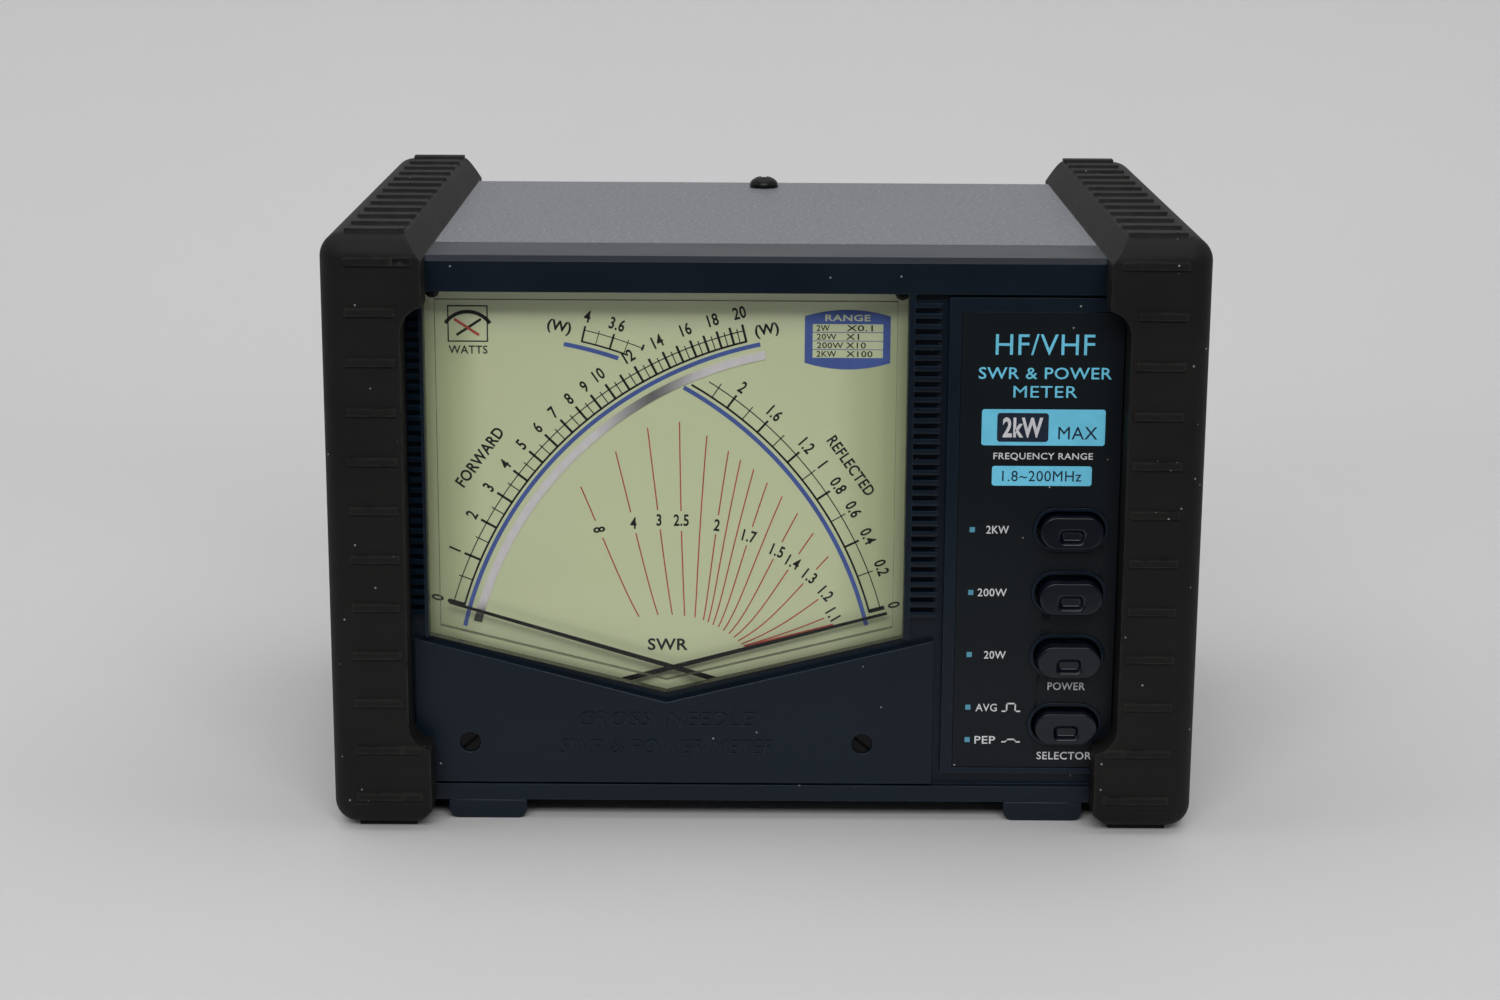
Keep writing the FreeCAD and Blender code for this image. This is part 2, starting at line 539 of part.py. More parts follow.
def bumpers():
    def outer_edge(edge):
        middle = edge.CenterOfMass
        box_of = edge.BoundBox
        at_side = abs(middle.x - 82.5) < 0.01
        level = box_of.ZLength < 0.01 and abs(middle.z - 58.0) > 57.0
        crosswise = level and box_of.YLength < 0.01
        return at_side or crosswise
    blank = prism("bumper_blank",
                  [("bumper_in", "case_low"), ("bumper_crest", "bumper_low"),
                   ("bumper_half", "bumper_low"), ("bumper_half", "bumper_top"),
                   ("bumper_crest", "bumper_top"), ("bumper_in", "case_top")],
                  ("bumper_front", "bumper_rear"), rounded=outer_edge, radius="bumper_round")
    room = box("bumper_room", ("0", "case_half"), ("front_face", "rear_face"),
               ("case_low", "case_top"))

    def inner_corner(edge):
        return edge.BoundBox.YLength > 1 and edge.CenterOfMass.x > 60

    def step(name, span):
        return prism(name, [("40", "block_low"), ("bumper_mid", "block_low"),
                            ("bumper_mid", "block_top"), ("40", "block_top")],
                     span, rounded=inner_corner, radius="block_round")
    front_step = step("front_step", ("bumper_front - 2", "front_face + 1"))
    rear_step = step("rear_step", ("rear_face - 1", "bumper_rear + 2"))
    hatch = prism("side_hatch", [("hatch_front", "hatch_low"), ("hatch_rear", "hatch_low"),
                                 ("hatch_rear", "hatch_top"), ("hatch_front", "hatch_top")],
                  ("case_half - 1", "bumper_half + 1"), facing="YZ_Plane",
                  rounded=lambda edge: edge.BoundBox.XLength > 1, radius="block_round")
    shell = cut("bumper_shell", blank, [room, front_step, rear_step, hatch])
    bars = []
    for k in range(13):
        y = ("bar_first + %d * bar_pitch - bar_wide / 2" % k,
             "bar_first + %d * bar_pitch + bar_wide / 2" % k)
        x = ("bumper_crest + 0.2", "bar_out + 0.2")
        bars.append(box("top_bar%02d" % k, x, y, ("bumper_top - 0.3", "overall_top")))
        bars.append(box("low_bar%02d" % k, x, y, ("0", "bumper_low + 0.3")))
    for k in range(12):
        middle = "bar_lowest + %d * bar_pitch" % k
        z = (middle + " - bar_thin / 2", middle + " + bar_thin / 2")
        bars.append(box("front_bar%02d" % k, ("bar_in", "bar_out"),
                        ("overall_front", "bumper_front + 0.3"), z))
        bars.append(box("rear_bar%02d" % k, ("bar_in", "bar_out"),
                        ("bumper_rear - 0.3", "overall_rear"), z))
    right = keep("right_bumper", fuse("right_bumper", [shell] + bars))
    left = doc.addObject("Part::Mirroring", "left_bumper")
    left.Source = right
    left.Normal = V(1, 0, 0)
    keep("left_bumper", left)


def foot_middles():
    return ["(foot_in_left + foot_out_left) / 2", "(foot_in_right + foot_out_right) / 2"]


def foot_screw_y():
    return "(front_face + foot_back) / 2"


def feet():
    spans = {"left_foot": ("foot_out_left", "foot_in_left"),
             "right_foot": ("foot_in_right", "foot_out_right")}
    shaped = []
    for (side, span), x in zip(spans.items(), foot_middles()):
        blank = prism(side + "_blank", [(span[0], "0"), (span[1], "0"), (span[1], "case_low"),
                                        (span[0], "case_low")], ("front_face", "foot_back"),
                      rounded=lambda edge: edge.BoundBox.YLength > 1 and edge.CenterOfMass.z < 1,
                      radius="foot_round")
        hole = rod(side + "_hole", "z", (x, foot_screw_y()), ("-1", "case_low + 1"), "small_shank")
        well = rod(side + "_well", "z", (x, foot_screw_y()), ("-1", "foot_seat"),
                   "small_head + 0.2")
        shaped.append(cut(side, blank, [hole, well]))
    keep("front_feet", fuse("front_feet", shaped))


def case_screws():
    """The cover is held by black screws; every screw inside the case is the same short one."""
    items = [screw_shape("lid_screw", "z", ("0", "lid_screw_y"), "case_top", "+", "head_tall",
                         "small_head")]
    for k, y in enumerate(("-side_screw_y", "side_screw_y")):
        items.append(screw_shape("right_screw%d" % k, "x", (y, "side_screw_z"), "case_half", "+",
                                 "head_tall", "small_head"))
        items.append(screw_shape("left_screw%d" % k, "x", (y, "side_screw_z"), "-case_half", "-",
                                 "head_tall", "small_head"))
    keep("cover_screws", fuse("cover_screws", items))
    items = [screw_shape("frame_screw%d" % k, "y", spot, "frame_front + sheet", "+")
             for k, spot in enumerate(boss_places() + ear_places())]
    items += [screw_shape("foot_screw%d" % k, "z", (x, foot_screw_y()), "foot_seat", "-")
              for k, x in enumerate(foot_middles())]
    items += [screw_shape("board_screw%d" % k, "x", spot, "board_left", "-")
              for k, spot in enumerate(board_screw_places())]
    keep("short_screws", fuse("short_screws", items))


# The crossed needle meter.

def meter_window():
    plate = prism("lens_plate", window_outline("lens_gap"), ("lens_front", "lens_back"))
    hollow = prism("lens_hollow", window_outline("lens_gap + lens_rim"),
                   ("lens_front + lens_skin", "bezel_back + 1"))
    flange = prism("lens_flange", window_outline("-lens_lap"),
                   ("bezel_back", "bezel_back + lens_flange_thick"))
    keep("meter_window", cut("meter_window", fuse("lens_body", [plate, flange]), [hollow]))


def dial():
    outline = [("window_left - dial_side", "pocket_top + 0.2"),
               ("window_right + 0.5", "pocket_top + 0.2"),
               ("window_right + 0.5", "window_low - 2.4"), ("meter_mid", "window_tip - 2.6"),
               ("window_left - dial_side", "window_low - 2.4")]
    plate = prism("dial_blank", outline, ("dial_front", "dial_front + dial_thick"))
    holes = [rod("dial_hole%d" % k, "y", spot, ("dial_front - 1", "dial_front + 2"), "0.9")
             for k, spot in enumerate(dial_screw_places())]
    keep("dial_plate", cut("dial_plate", plate, holes))
    screws = []
    for k, spot in enumerate(dial_screw_places()):
        head = rod("dial_screw_head%d" % k, "y", spot, ("dial_front - 1.2", "dial_front"), "1.4")
        shank = rod("dial_screw_shank%d" % k, "y", spot, ("dial_front", "dial_front + 5"), "0.9")
        screws.append(fuse("dial_screw%d" % k, [head, shank]))
    keep("dial_screws", fuse("dial_screws", screws))
    sweep = doc.addObject("Part::Cylinder", "mirror_sector")
    core = doc.addObject("Part::Cylinder", "mirror_core")
    for item, radius, tall in ((sweep, "mirror_out", "mirror_thick"),
                               (core, "mirror_in", "3 * mirror_thick")):
        bind(item, "Radius", radius)
        bind(item, "Height", tall)
        around = FreeCAD.Rotation(V(1, 0, 0), 90)
        item.Placement.Rotation = around.multiply(FreeCAD.Rotation(V(0, 0, 1), MIRROR_START))
    bind(sweep, "Angle", "mirror_sweep * 1 deg")
    place(sweep, "meter_mid + pivot_side", "dial_front", "pivot_z")
    place(core, "meter_mid + pivot_side", "dial_front + mirror_thick", "pivot_z")
    keep("dial_mirror", cut("dial_mirror", sweep, [core]))
    panel = prism("diffuser", [("window_left + 1.6", "97"), ("window_right - 1.6", "97"),
                               ("window_right - 1.6", "40"), ("meter_mid", "31"),
                               ("window_left + 1.6", "40")],
                  ("dial_front + dial_thick", "dial_front + dial_thick + 1.4"))
    keep("light_diffuser", panel)


def dial_screw_places():
    return [("window_left + 1", "pocket_top - 1.1"), ("window_right - 0.9", "pocket_top - 1.1")]


def meter_housing():
    outer = box("housing_outer", ("housing_left", "housing_right"), ("bezel_back", "housing_back"),
                ("housing_low", "housing_top"))
    inner = box("housing_inner", ("housing_left + housing_wall", "housing_right - housing_wall"),
                ("bezel_back - 1", "housing_back - housing_wall"),
                ("housing_low + housing_wall", "housing_top - housing_wall"))
    posts = [rod("dial_post%d" % k, "y", spot,
                 ("dial_front + dial_thick", "housing_back - housing_wall + 0.2"), "2.1")
             for k, spot in enumerate(dial_screw_places())]
    rails = [box("dial_rail%d" % k, span,
                 ("dial_front + dial_thick", "dial_front + dial_thick + 3"),
                 ("window_low + 2", "94"))
             for k, span in enumerate((("housing_left + 1", "window_left + 0.9"),
                                       ("window_right - 0.9", "housing_right - 1")))]
    ears = [box("housing_ear0", ("housing_left - 5", "housing_left + 1"),
                ("frame_front - 2", "frame_front"), ("50", "60")),
            box("housing_ear1", ("housing_right - 1", "housing_right + 5"),
                ("frame_front - 2", "frame_front"), ("81", "91"))]
    blank = fuse("housing_blank", [cut("housing_shell", outer, [inner])] + posts + rails + ears)
    holes = [rod("post_hole%d" % k, "y", spot, ("dial_front", "dial_front + 6"), "0.9")
             for k, spot in enumerate(dial_screw_places())]
    holes += [rod("ear_bore%d" % k, "y", spot, ("frame_front - 4", "frame_front + 1"),
                  "small_shank + 0.1")
              for k, spot in enumerate(ear_places())]
    holes += [rod("jewel_bore%d" % k, "y", ("meter_mid %s pivot_side" % sign, "pivot_z"),
                  ("housing_back - 4", "housing_back + 1"), "jewel_round")
              for k, sign in enumerate("-+")]
    keep("meter_housing", cut("meter_housing", blank, holes))


def meter_lighting():
    board = box("lamp_board", ("-50", "12"), ("-47", "-31"),
                ("housing_top - housing_wall - board_thick", "housing_top - housing_wall"))
    keep("lamp_board", board)
    lamps = [rod("lamp%d" % k, "z", ("-43 + %d * 24" % k, "-43.5"),
                 ("97.4", "housing_top - housing_wall - board_thick"), "2")
             for k in range(3)]
    keep("meter_lamps", fuse("meter_lamps", lamps))


def movement(side, sign, plane):
    """One moving-coil movement; sign is + for the right pivot and - for its mirror image."""
    x = "(meter_mid %s pivot_side)" % sign
    z = "pivot_z"

    def mirrored(degrees):
        return degrees if sign == "+" else 180.0 - degrees
    ring = cut(side + "_ring", rod(side + "_ring_outer", "y", ("0", "0"),
                                   ("yoke_front", "housing_back - housing_wall"), "yoke_out"),
               [rod(side + "_ring_inner", "y", ("0", "0"), ("yoke_front - 1", "housing_back"),
                    "yoke_in")])
    core = rod(side + "_core", "y", ("0", "0"), ("yoke_front", "core_back"), "core_round")
    strap = box(side + "_strap", ("-yoke_out", "yoke_out"), ("yoke_front - 0.6", "yoke_front"),
                ("-1.5", "1.5"))
    back_of_bridge = "bridge_front + bridge_thick"
    bar = box(side + "_bar", ("-yoke_out", "yoke_out"), ("bridge_front", back_of_bridge),
              ("-1.5", "1.5"))
    hub = rod(side + "_bridge_hub", "y", ("0", "0"), ("bridge_front", back_of_bridge), "2.6")
    legs = [box(side + "_leg%d" % k, span, ("bridge_front", "yoke_front - 0.6"), ("-1.5", "1.5"))
            for k, span in enumerate((("-yoke_out", "1.2 - yoke_out"),
                                      ("yoke_out - 1.2", "yoke_out")))]
    bore = rod(side + "_bridge_bore", "y", ("0", "0"), ("bridge_front - 1", "yoke_front"),
               "jewel_round")
    bridge = cut(side + "_bridge_shape", fuse(side + "_bridge_blank", [bar, hub] + legs), [bore])
    fixed = {
        "yokes": turned(side + "_yoke", ring, x, z, 0),
        "core_magnets": turned(side + "_core_magnet", core, x, z, 0),
        "core_straps": turned(side + "_core_strap", strap, x, z, mirrored(STRAP_TURN)),
        "bridges": turned(side + "_bridge", bridge, x, z, mirrored(STRAP_TURN)),
    }
    wound = box(side + "_wound", ("-coil_half", "coil_half"), ("coil_front", "coil_back"),
                ("-coil_thick / 2", "coil_thick / 2"))
    hollow = box(side + "_wound_hole", ("coil_wire - coil_half", "coil_half - coil_wire"),
                 ("coil_front + coil_wire", "coil_back - coil_wire"), ("-3", "3"))
    keep(side + "_coil", turned(side + "_coil", cut(side + "_winding", wound, [hollow]), x, z,
                                mirrored(NEEDLE_REST[sign])))
    staff = fuse(side + "_staff_shape", [
        rod(side + "_staff_front", "y", ("0", "0"), ("bridge_front + 0.4", "coil_front"),
            "staff_round"),
        rod(side + "_staff_back", "y", ("0", "0"), ("coil_back", "coil_back + 1.2"), "staff_round")])
    keep(side + "_staff", turned(side + "_staff", staff, x, z, 0))
    needle(side, plane, x, z, mirrored(NEEDLE_REST[sign]))
    zero_adjuster(side, sign, x, z, mirrored(ARM_TURN))
    return fixed


def movements():
    """Both movements; the pieces that stand still share one node per kind."""
    right = movement("forward", "+", "forward_plane")
    left = movement("reflected", "-", "reflected_plane")
    for node in right:
        keep(node, fuse(node, [right[node], left[node]]))


def needle(side, plane, x, z, degrees):
    depth = (plane, plane + " + needle_thick")
    blade = prism(side + "_blade", [("1", "-0.6"), ("needle_long", "-0.28"),
                                    ("needle_long", "0.28"), ("1", "0.6")], depth)
    tail = box(side + "_tail", ("-weight_reach", "-1"), depth, ("-0.5", "0.5"))
    weight = rod(side + "_weight", "y", ("-weight_reach", "0"),
                 (plane + " - 0.15", plane + " - 0.15 + weight_long"), "weight_round")
    hub = rod(side + "_hub", "y", ("0", "0"), (plane, plane + " + 0.6"), "1.8")
    bore = rod(side + "_hub_bore", "y", ("0", "0"), (plane + " - 1", plane + " + 2"), "staff_round")
    shape = cut(side + "_needle_shape", fuse(side + "_needle_blank", [blade, tail, weight, hub]),
                [bore])
    keep(side + "_needle", turned(side + "_needle", shape, x, z, degrees))


def zero_adjuster(side, sign, x, z, degrees):
    depth = ("arm_front", "arm_front + 0.5")
    ring = rod(side + "_arm_ring", "y", ("0", "0"), depth, "2.4")
    bar = box(side + "_arm_bar", ("1", "6.6"), depth, ("-1.15", "1.15"))
    bore = rod(side + "_arm_bore", "y", ("0", "0"), ("arm_front - 1", "arm_front + 2"),
               "jewel_round + 0.08")
    slot = box(side + "_arm_slot", ("4.2", "7"), ("arm_front - 1", "arm_front + 2"),
               ("-adjust_pin - 0.1", "adjust_pin + 0.1"))
    arm = cut(side + "_arm_shape", fuse(side + "_arm_blank", [ring, bar]), [bore, slot])
    keep(side + "_zero_arm", turned(side + "_zero_arm", arm, x, z, degrees))
    head = rod(side + "_zero_head", "y", ("0", "0"), ("adjust_front", "bezel_back + 0.2"),
               "adjust_head")
    slit = box(side + "_zero_slit", ("-3", "3"), ("adjust_front - 1", "adjust_front + 0.8"),
               ("-0.3", "0.3"))
    pin = rod(side + "_zero_pin", "y", ("-adjust_throw", "0"), ("bezel_back", "arm_front + 0.6"),
              "adjust_pin")
    screw = fuse(side + "_zero_shape", [cut(side + "_zero_slotted", head, [slit]), pin])
    keep(side + "_zero_screw", turned(side + "_zero_screw", screw,
                                      "(meter_mid %s adjust_side)" % sign, "adjust_z", degrees))


def jewel_screws():
    items = []
    for k, sign in enumerate("-+"):
        centre = ("(meter_mid %s pivot_side)" % sign, "pivot_z")
        front = rod("jewel_front%d" % k, "y", centre, ("bridge_front - 1", "bridge_front + 0.7"),
                    "jewel_round")
        front_hole = rod("jewel_front_hole%d" % k, "y", centre,
                         ("bridge_front + 0.3", "bridge_front + 1"), "jewel_hole")
        back = rod("jewel_back%d" % k, "y", centre, ("coil_back + 0.9", "housing_back - 0.6"),
                   "jewel_round")
        back_hole = rod("jewel_back_hole%d" % k, "y", centre, ("coil_back", "coil_back + 1.3"),
                        "jewel_hole")
        items += [cut("jewel_f%d" % k, front, [front_hole]), cut("jewel_b%d" % k, back, [back_hole])]
    keep("jewel_screws", fuse("jewel_screws", items))


# Switches, buttons and the control board.

def buttons():
    names = ["button_2kw", "button_200w", "button_20w", "button_selector"]
    sunk = ["latched", "0", "0", "latched"]
    for node, shift, z in zip(names, sunk, key_heights()):
        front = "cap_front + %s" % shift
        cap = stadium(node + "_cap", "key_x", z, "cap_wide", "cap_tall",
                      (front, front + " + cap_deep"))
        dish = stadium(node + "_dish", "key_x", z + " - 0.8", "dish_wide", "2.2",
                       (front + " - 1", front + " + dish_deep"))
        half = "plunger / 2"
        socket = box(node + "_socket", ("key_x - " + half, "key_x + " + half),
                     (front + " + cap_deep - socket_deep", front + " + cap_deep + 1"),
                     ("%s - %s" % (z, half), "%s + %s" % (z, half)))
        keep(node, cut(node, cap, [dish, socket]))
        stem = box(node.replace("button", "plunger"), ("key_x - " + half, "key_x + " + half),
                   (front + " + cap_deep - socket_deep", "plunger_end + %s" % shift),
                   ("%s - %s" % (z, half), "%s + %s" % (z, half)))
        keep(node.replace("button", "plunger"), stem)


def switches():
    front = "frame_front + sheet"
    room = "(plunger / 2 + plunger_play)"

    def channel(name, z):
        return box(name, ("key_x - " + room, "key_x + " + room), (front + " - 1", "switch_back - 2"),
                   ("%s - %s" % (z, room), "%s + %s" % (z, room)))
    heights = key_heights()
    bank = box("bank_body", ("key_x - switch_half", "key_x + switch_half"), (front, "switch_back"),
               (heights[2] + " - 5.5", heights[0] + " + 5.5"))
    keep("range_switch_bank", cut("range_switch_bank", bank,
                                  [channel("bank_channel%d" % k, heights[k]) for k in range(3)]))
    single = box("selector_body", ("key_x - switch_half", "key_x + switch_half"),
                 (front, "switch_back"), (heights[3] + " - 5.5", heights[3] + " + 5.5"))
    keep("selector_switch", cut("selector_switch", single, [channel("selector_channel", heights[3])]))


def board_screw_places():
    return [("-8", "14"), ("26", "14")]


def control_board():
    board_right = "board_left + board_thick"
    plate = box("board_plate", ("board_left", board_right), ("-36", "32"), ("9", "74"))
    spots = board_screw_places()
    holes = [rod("board_hole%d" % k, "x", spot, ("board_left - 1", board_right + " + 1"),
                 "small_shank") for k, spot in enumerate(spots)]
    keep("control_board", cut("control_board", plate, holes))
    wall = "case_half - 2 * sheet - slack"
    spacers = [cut("spacer%d" % k, rod("spacer_body%d" % k, "x", spot, (board_right, wall), "2.7"),
                   [rod("spacer_hole%d" % k, "x", spot, (board_right + " - 1", wall + " - 1"),
                        "small_shank")])
               for k, spot in enumerate(spots)]
    keep("board_standoffs", fuse("board_standoffs", spacers))
    chips = [box("chip%d" % k, ("board_left - 2.6", "board_left"), ("%d" % y, "%d" % (y + 14)),
                 ("30", "37")) for k, y in enumerate((-10, 10))]
    cans = [rod("can%d" % k, "x", ("%d" % y, "50"), ("board_left - 8", "board_left"), "3.2")
            for k, y in enumerate((-6, 5, 16))]
    trimmers = [box("trimmer%d" % k, ("board_left - 4.5", "board_left"), ("%d" % y, "%d" % (y + 6)),
                    ("61", "67")) for k, y in enumerate((-9, 1, 11, 21))]
    keep("board_components", fuse("board_components", chips + cans + trimmers))


# The sensor box and the sockets on the rear panel.

def sensor_box():
    rear = "rear_face - sheet"
    outer = box("sensor_outer", ("-sensor_half", "sensor_half"), ("sensor_front", rear),
                ("sensor_low", "sensor_top"))
    inner = box("sensor_inner", ("sensor_sheet - sensor_half", "sensor_half - sensor_sheet"),
                ("sensor_front - 1", rear + " - sensor_sheet"),
                ("sensor_low + sensor_sheet", "sensor_top - sensor_sheet"))
    keep("sensor_case", cut("sensor_case", outer,
                            [inner] + socket_holes("sensor", (rear + " - 2", rear + " + 1"))))
    keep("sensor_lid", box("sensor_lid", ("-sensor_half", "sensor_half"),
                           ("sensor_front - sensor_sheet", "sensor_front"),
                           ("sensor_low", "sensor_top")))
    keep("sensor_board", box("sensor_board", ("4 - sensor_half", "sensor_half - 4"),
                             ("sensor_front", "sensor_front + board_thick"),
                             ("sensor_low + 3", "sensor_top - 3")))
    keep("through_line", rod("through_line", "x", ("line_y", "jack_z"),
                             ("-jack_side - 2", "jack_side + 2"), "line_round"))
    ring = rod("toroid_outer", "x", ("line_y", "jack_z"), ("-5", "5"), "6.5")
    hole = rod("toroid_hole", "x", ("line_y", "jack_z"), ("-6", "6"), "line_round")
    keep("coupler_toroid", cut("coupler_toroid", ring, [hole]))


def coaxial_sockets():
    inserts = []
    contacts = []
    screws = []
    outside = "rear_face + flange_thick"
    for side, sign, node in ((0, "-", "transmitter_socket"), (1, "+", "antenna_socket")):
        x = "(0 %s jack_side)" % sign
        centre = (x, "jack_z")
        flange = box(node + "_flange", (x + " - flange_half", x + " + flange_half"),
                     ("rear_face", outside), ("jack_z - flange_half", "jack_z + flange_half"))
        barrel = rod(node + "_barrel", "y", centre, (outside + " - 0.5", "socket_end"),
                     "thread_round")
        neck = rod(node + "_neck", "y", centre, ("rear_face - 4", "rear_face + 0.5"), "boss_inner")
        bore = rod(node + "_bore", "y", centre, ("rear_face + 4", "socket_end + 1"), "socket_bore")
        passage = rod(node + "_passage", "y", centre, ("rear_face - 5", "rear_face + 5"),
                      "insulator_round")
        holes = []
        for k, (dx, dz) in enumerate(flange_corners()):
            spot = (x + dx, "jack_z" + dz)
            holes.append(rod("%s_hole%d" % (node, k), "y", spot, ("rear_face - 1", outside + " + 1"),
                             "small_shank"))
            screws.append(screw_shape("%s_screw%d" % (node, k), "y", spot, outside, "+"))
        keep(node, cut(node, fuse(node + "_blank", [flange, barrel, neck]),
                       [bore, passage] + holes))
        insert = rod("insert_body%d" % side, "y", centre, ("rear_face - 5", "rear_face + 6"),
                     "insulator_round")
        inserts.append(cut("insert%d" % side, insert,
                           [rod("insert_bore%d" % side, "y", centre,
                                ("rear_face - 6", "rear_face + 7"), "contact_out")]))
        tube = rod("contact_body%d" % side, "y", centre, ("contact_back", "socket_end - 2"),
                   "contact_out")
        contacts.append(cut("contact%d" % side, tube,
                            [rod("contact_bore%d" % side, "y", centre,
                                 ("socket_end - 15", "socket_end"), "contact_in")]))
    keep("socket_insulators", fuse("socket_insulators", inserts))
    keep("socket_contacts", fuse("socket_contacts", contacts))
    keep("socket_screws", fuse("socket_screws", screws))


def supply_socket():
    centre = ("supply_x", "supply_z")
    back = box("supply_back", ("supply_x - 5.5", "supply_x + 5.5"),
               ("rear_face - sheet - 11", "rear_face - sheet"), ("supply_z - 5.5", "supply_z + 5.5"))
    barrel = rod("supply_barrel", "y", centre, ("rear_face - sheet - 1", "rear_face + 3.4"),
                 "supply_round")
    bore = rod("supply_opening", "y", centre, ("rear_face - 9", "rear_face + 4"), "supply_bore")
    keep("supply_socket", cut("supply_socket", fuse("supply_blank", [back, barrel]), [bore]))
    keep("supply_pin", rod("supply_pin_rod", "y", centre, ("rear_face - 9", "rear_face + 2.4"),
                           "supply_pin"))
    nut = prism("supply_nut_blank",
                [("supply_x - 2.9", "supply_z - 5"), ("supply_x + 2.9", "supply_z - 5"),
                 ("supply_x + 5.8", "supply_z"), ("supply_x + 2.9", "supply_z + 5"),
                 ("supply_x - 2.9", "supply_z + 5"), ("supply_x - 5.8", "supply_z")],
                ("rear_face", "rear_face + 2"))
    keep("supply_nut", cut("supply_nut", nut,
                           [rod("supply_nut_bore", "y", centre, ("rear_face - 1", "rear_face + 3"),
                                "supply_round")]))


top_cover()
chassis()
front_bezel()
lower_fascia()
control_panel()
panel_inlay()
bumpers()
feet()
case_screws()
meter_window()
dial()
meter_housing()
meter_lighting()
movements()
jewel_screws()
buttons()
switches()
control_board()
sensor_box()
coaxial_sockets()
supply_socket()
doc.recompute()

for item in doc.Objects:
    if "Invalid" in item.State or "Error" in item.State:
        raise RuntimeError("%s did not compute: %s" % (item.Name, item.State))
for node, item in subparts:
    shape = item.Shape
    if shape.isNull() or not shape.isValid():
        raise RuntimeError(node + " has no valid shape")
    shape.exportStep("parts/%s.step" % node)
    bounds = shape.BoundBox
    print("%-22s %d solids  x %7.2f %7.2f  y %7.2f %7.2f  z %7.2f %7.2f" % (
        node, len(shape.Solids), bounds.XMin, bounds.XMax, bounds.YMin, bounds.YMax,
        bounds.ZMin, bounds.ZMax))
print(len(subparts), "sub-parts written")
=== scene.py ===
# %% [markdown]
# # A crossed-needle SWR meter
#
# The meter stands between a transmitter and its antenna. One needle shows the power that goes out
# and the other the power that comes back, and where they cross, a red line gives the standing wave
# ratio. The engineering model has every piece at its true size, so it is loaded first and stays
# fixed. This lesson gives the pieces their finishes, prints the dial and the panel, and rebuilds the
# pieces whose fine shape the plain model leaves out.

# %% Load the engineering model
import json
import math

import bmesh
import bpy
from mathutils import Matrix, Vector


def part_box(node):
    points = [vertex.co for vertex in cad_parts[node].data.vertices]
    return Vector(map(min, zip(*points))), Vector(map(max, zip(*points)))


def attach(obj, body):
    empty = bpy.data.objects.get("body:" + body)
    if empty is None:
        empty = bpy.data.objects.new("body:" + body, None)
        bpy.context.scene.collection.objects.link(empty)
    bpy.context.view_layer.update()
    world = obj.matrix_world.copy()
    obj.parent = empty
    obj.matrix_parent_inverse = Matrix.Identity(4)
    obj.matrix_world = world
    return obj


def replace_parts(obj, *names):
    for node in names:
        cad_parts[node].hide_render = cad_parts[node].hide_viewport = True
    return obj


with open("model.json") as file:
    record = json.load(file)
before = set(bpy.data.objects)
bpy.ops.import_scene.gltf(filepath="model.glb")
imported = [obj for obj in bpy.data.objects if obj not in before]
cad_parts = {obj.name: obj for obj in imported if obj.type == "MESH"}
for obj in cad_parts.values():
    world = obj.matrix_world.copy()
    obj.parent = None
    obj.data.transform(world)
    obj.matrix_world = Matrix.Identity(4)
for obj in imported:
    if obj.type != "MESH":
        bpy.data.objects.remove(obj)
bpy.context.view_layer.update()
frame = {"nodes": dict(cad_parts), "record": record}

nodes = frame["nodes"]
owner = {piece: body for body, members in frame["record"]["behaviour"]["bodies"].items()
         for piece in members}

# %% [markdown]
# ## Small helpers
#
# Blender works in metres and a maker thinks in millimetres, so one number turns the one into the
# other. Every mesh made below passes through the same short function, which puts it in the scene,
# gives it a finish and fastens it to the body that carries it. The function also counts the edges
# that don't join exactly two faces: a sound solid has none.

# %% Putting a mesh in the scene
MM = 0.001
scene = bpy.context.scene


def settle(name, bm, finish, body, smooth=False):
    """Turns finished mesh work into a piece that rides on a body."""
    bmesh.ops.recalc_face_normals(bm, faces=bm.faces)
    open_edges = sum(1 for edge in bm.edges if len(edge.link_faces) != 2)
    mesh = bpy.data.meshes.new(name)
    bm.to_mesh(mesh)
    bm.free()
    if smooth:
        mesh.shade_smooth()
    piece = bpy.data.objects.new(name, mesh)
    scene.collection.objects.link(piece)
    piece.data.materials.append(finish)
    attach(piece, body)
    print(name, "faces", len(mesh.polygons), "open edges", open_edges)
    return piece


# %% [markdown]
# ## Writing shader maths as sums
#
# A finish is a small net of nodes. One class wraps an output socket and lets it stand in an ordinary
# Python sum: `1 - mask * 0.5` adds the two Math nodes that it needs. Every other node is made by one
# method, which takes the kind without its common first word, sets the node's choices, and then fills
# or links its sockets.

# %% The socket class
def sum_of(operation, swapped=False):
    """A method that puts one Math node between two values."""
    def method(self, other):
        first, second = (other, self) if swapped else (self, other)
        return self.node("Math", {0: first, 1: second}, {"operation": operation})
    return method


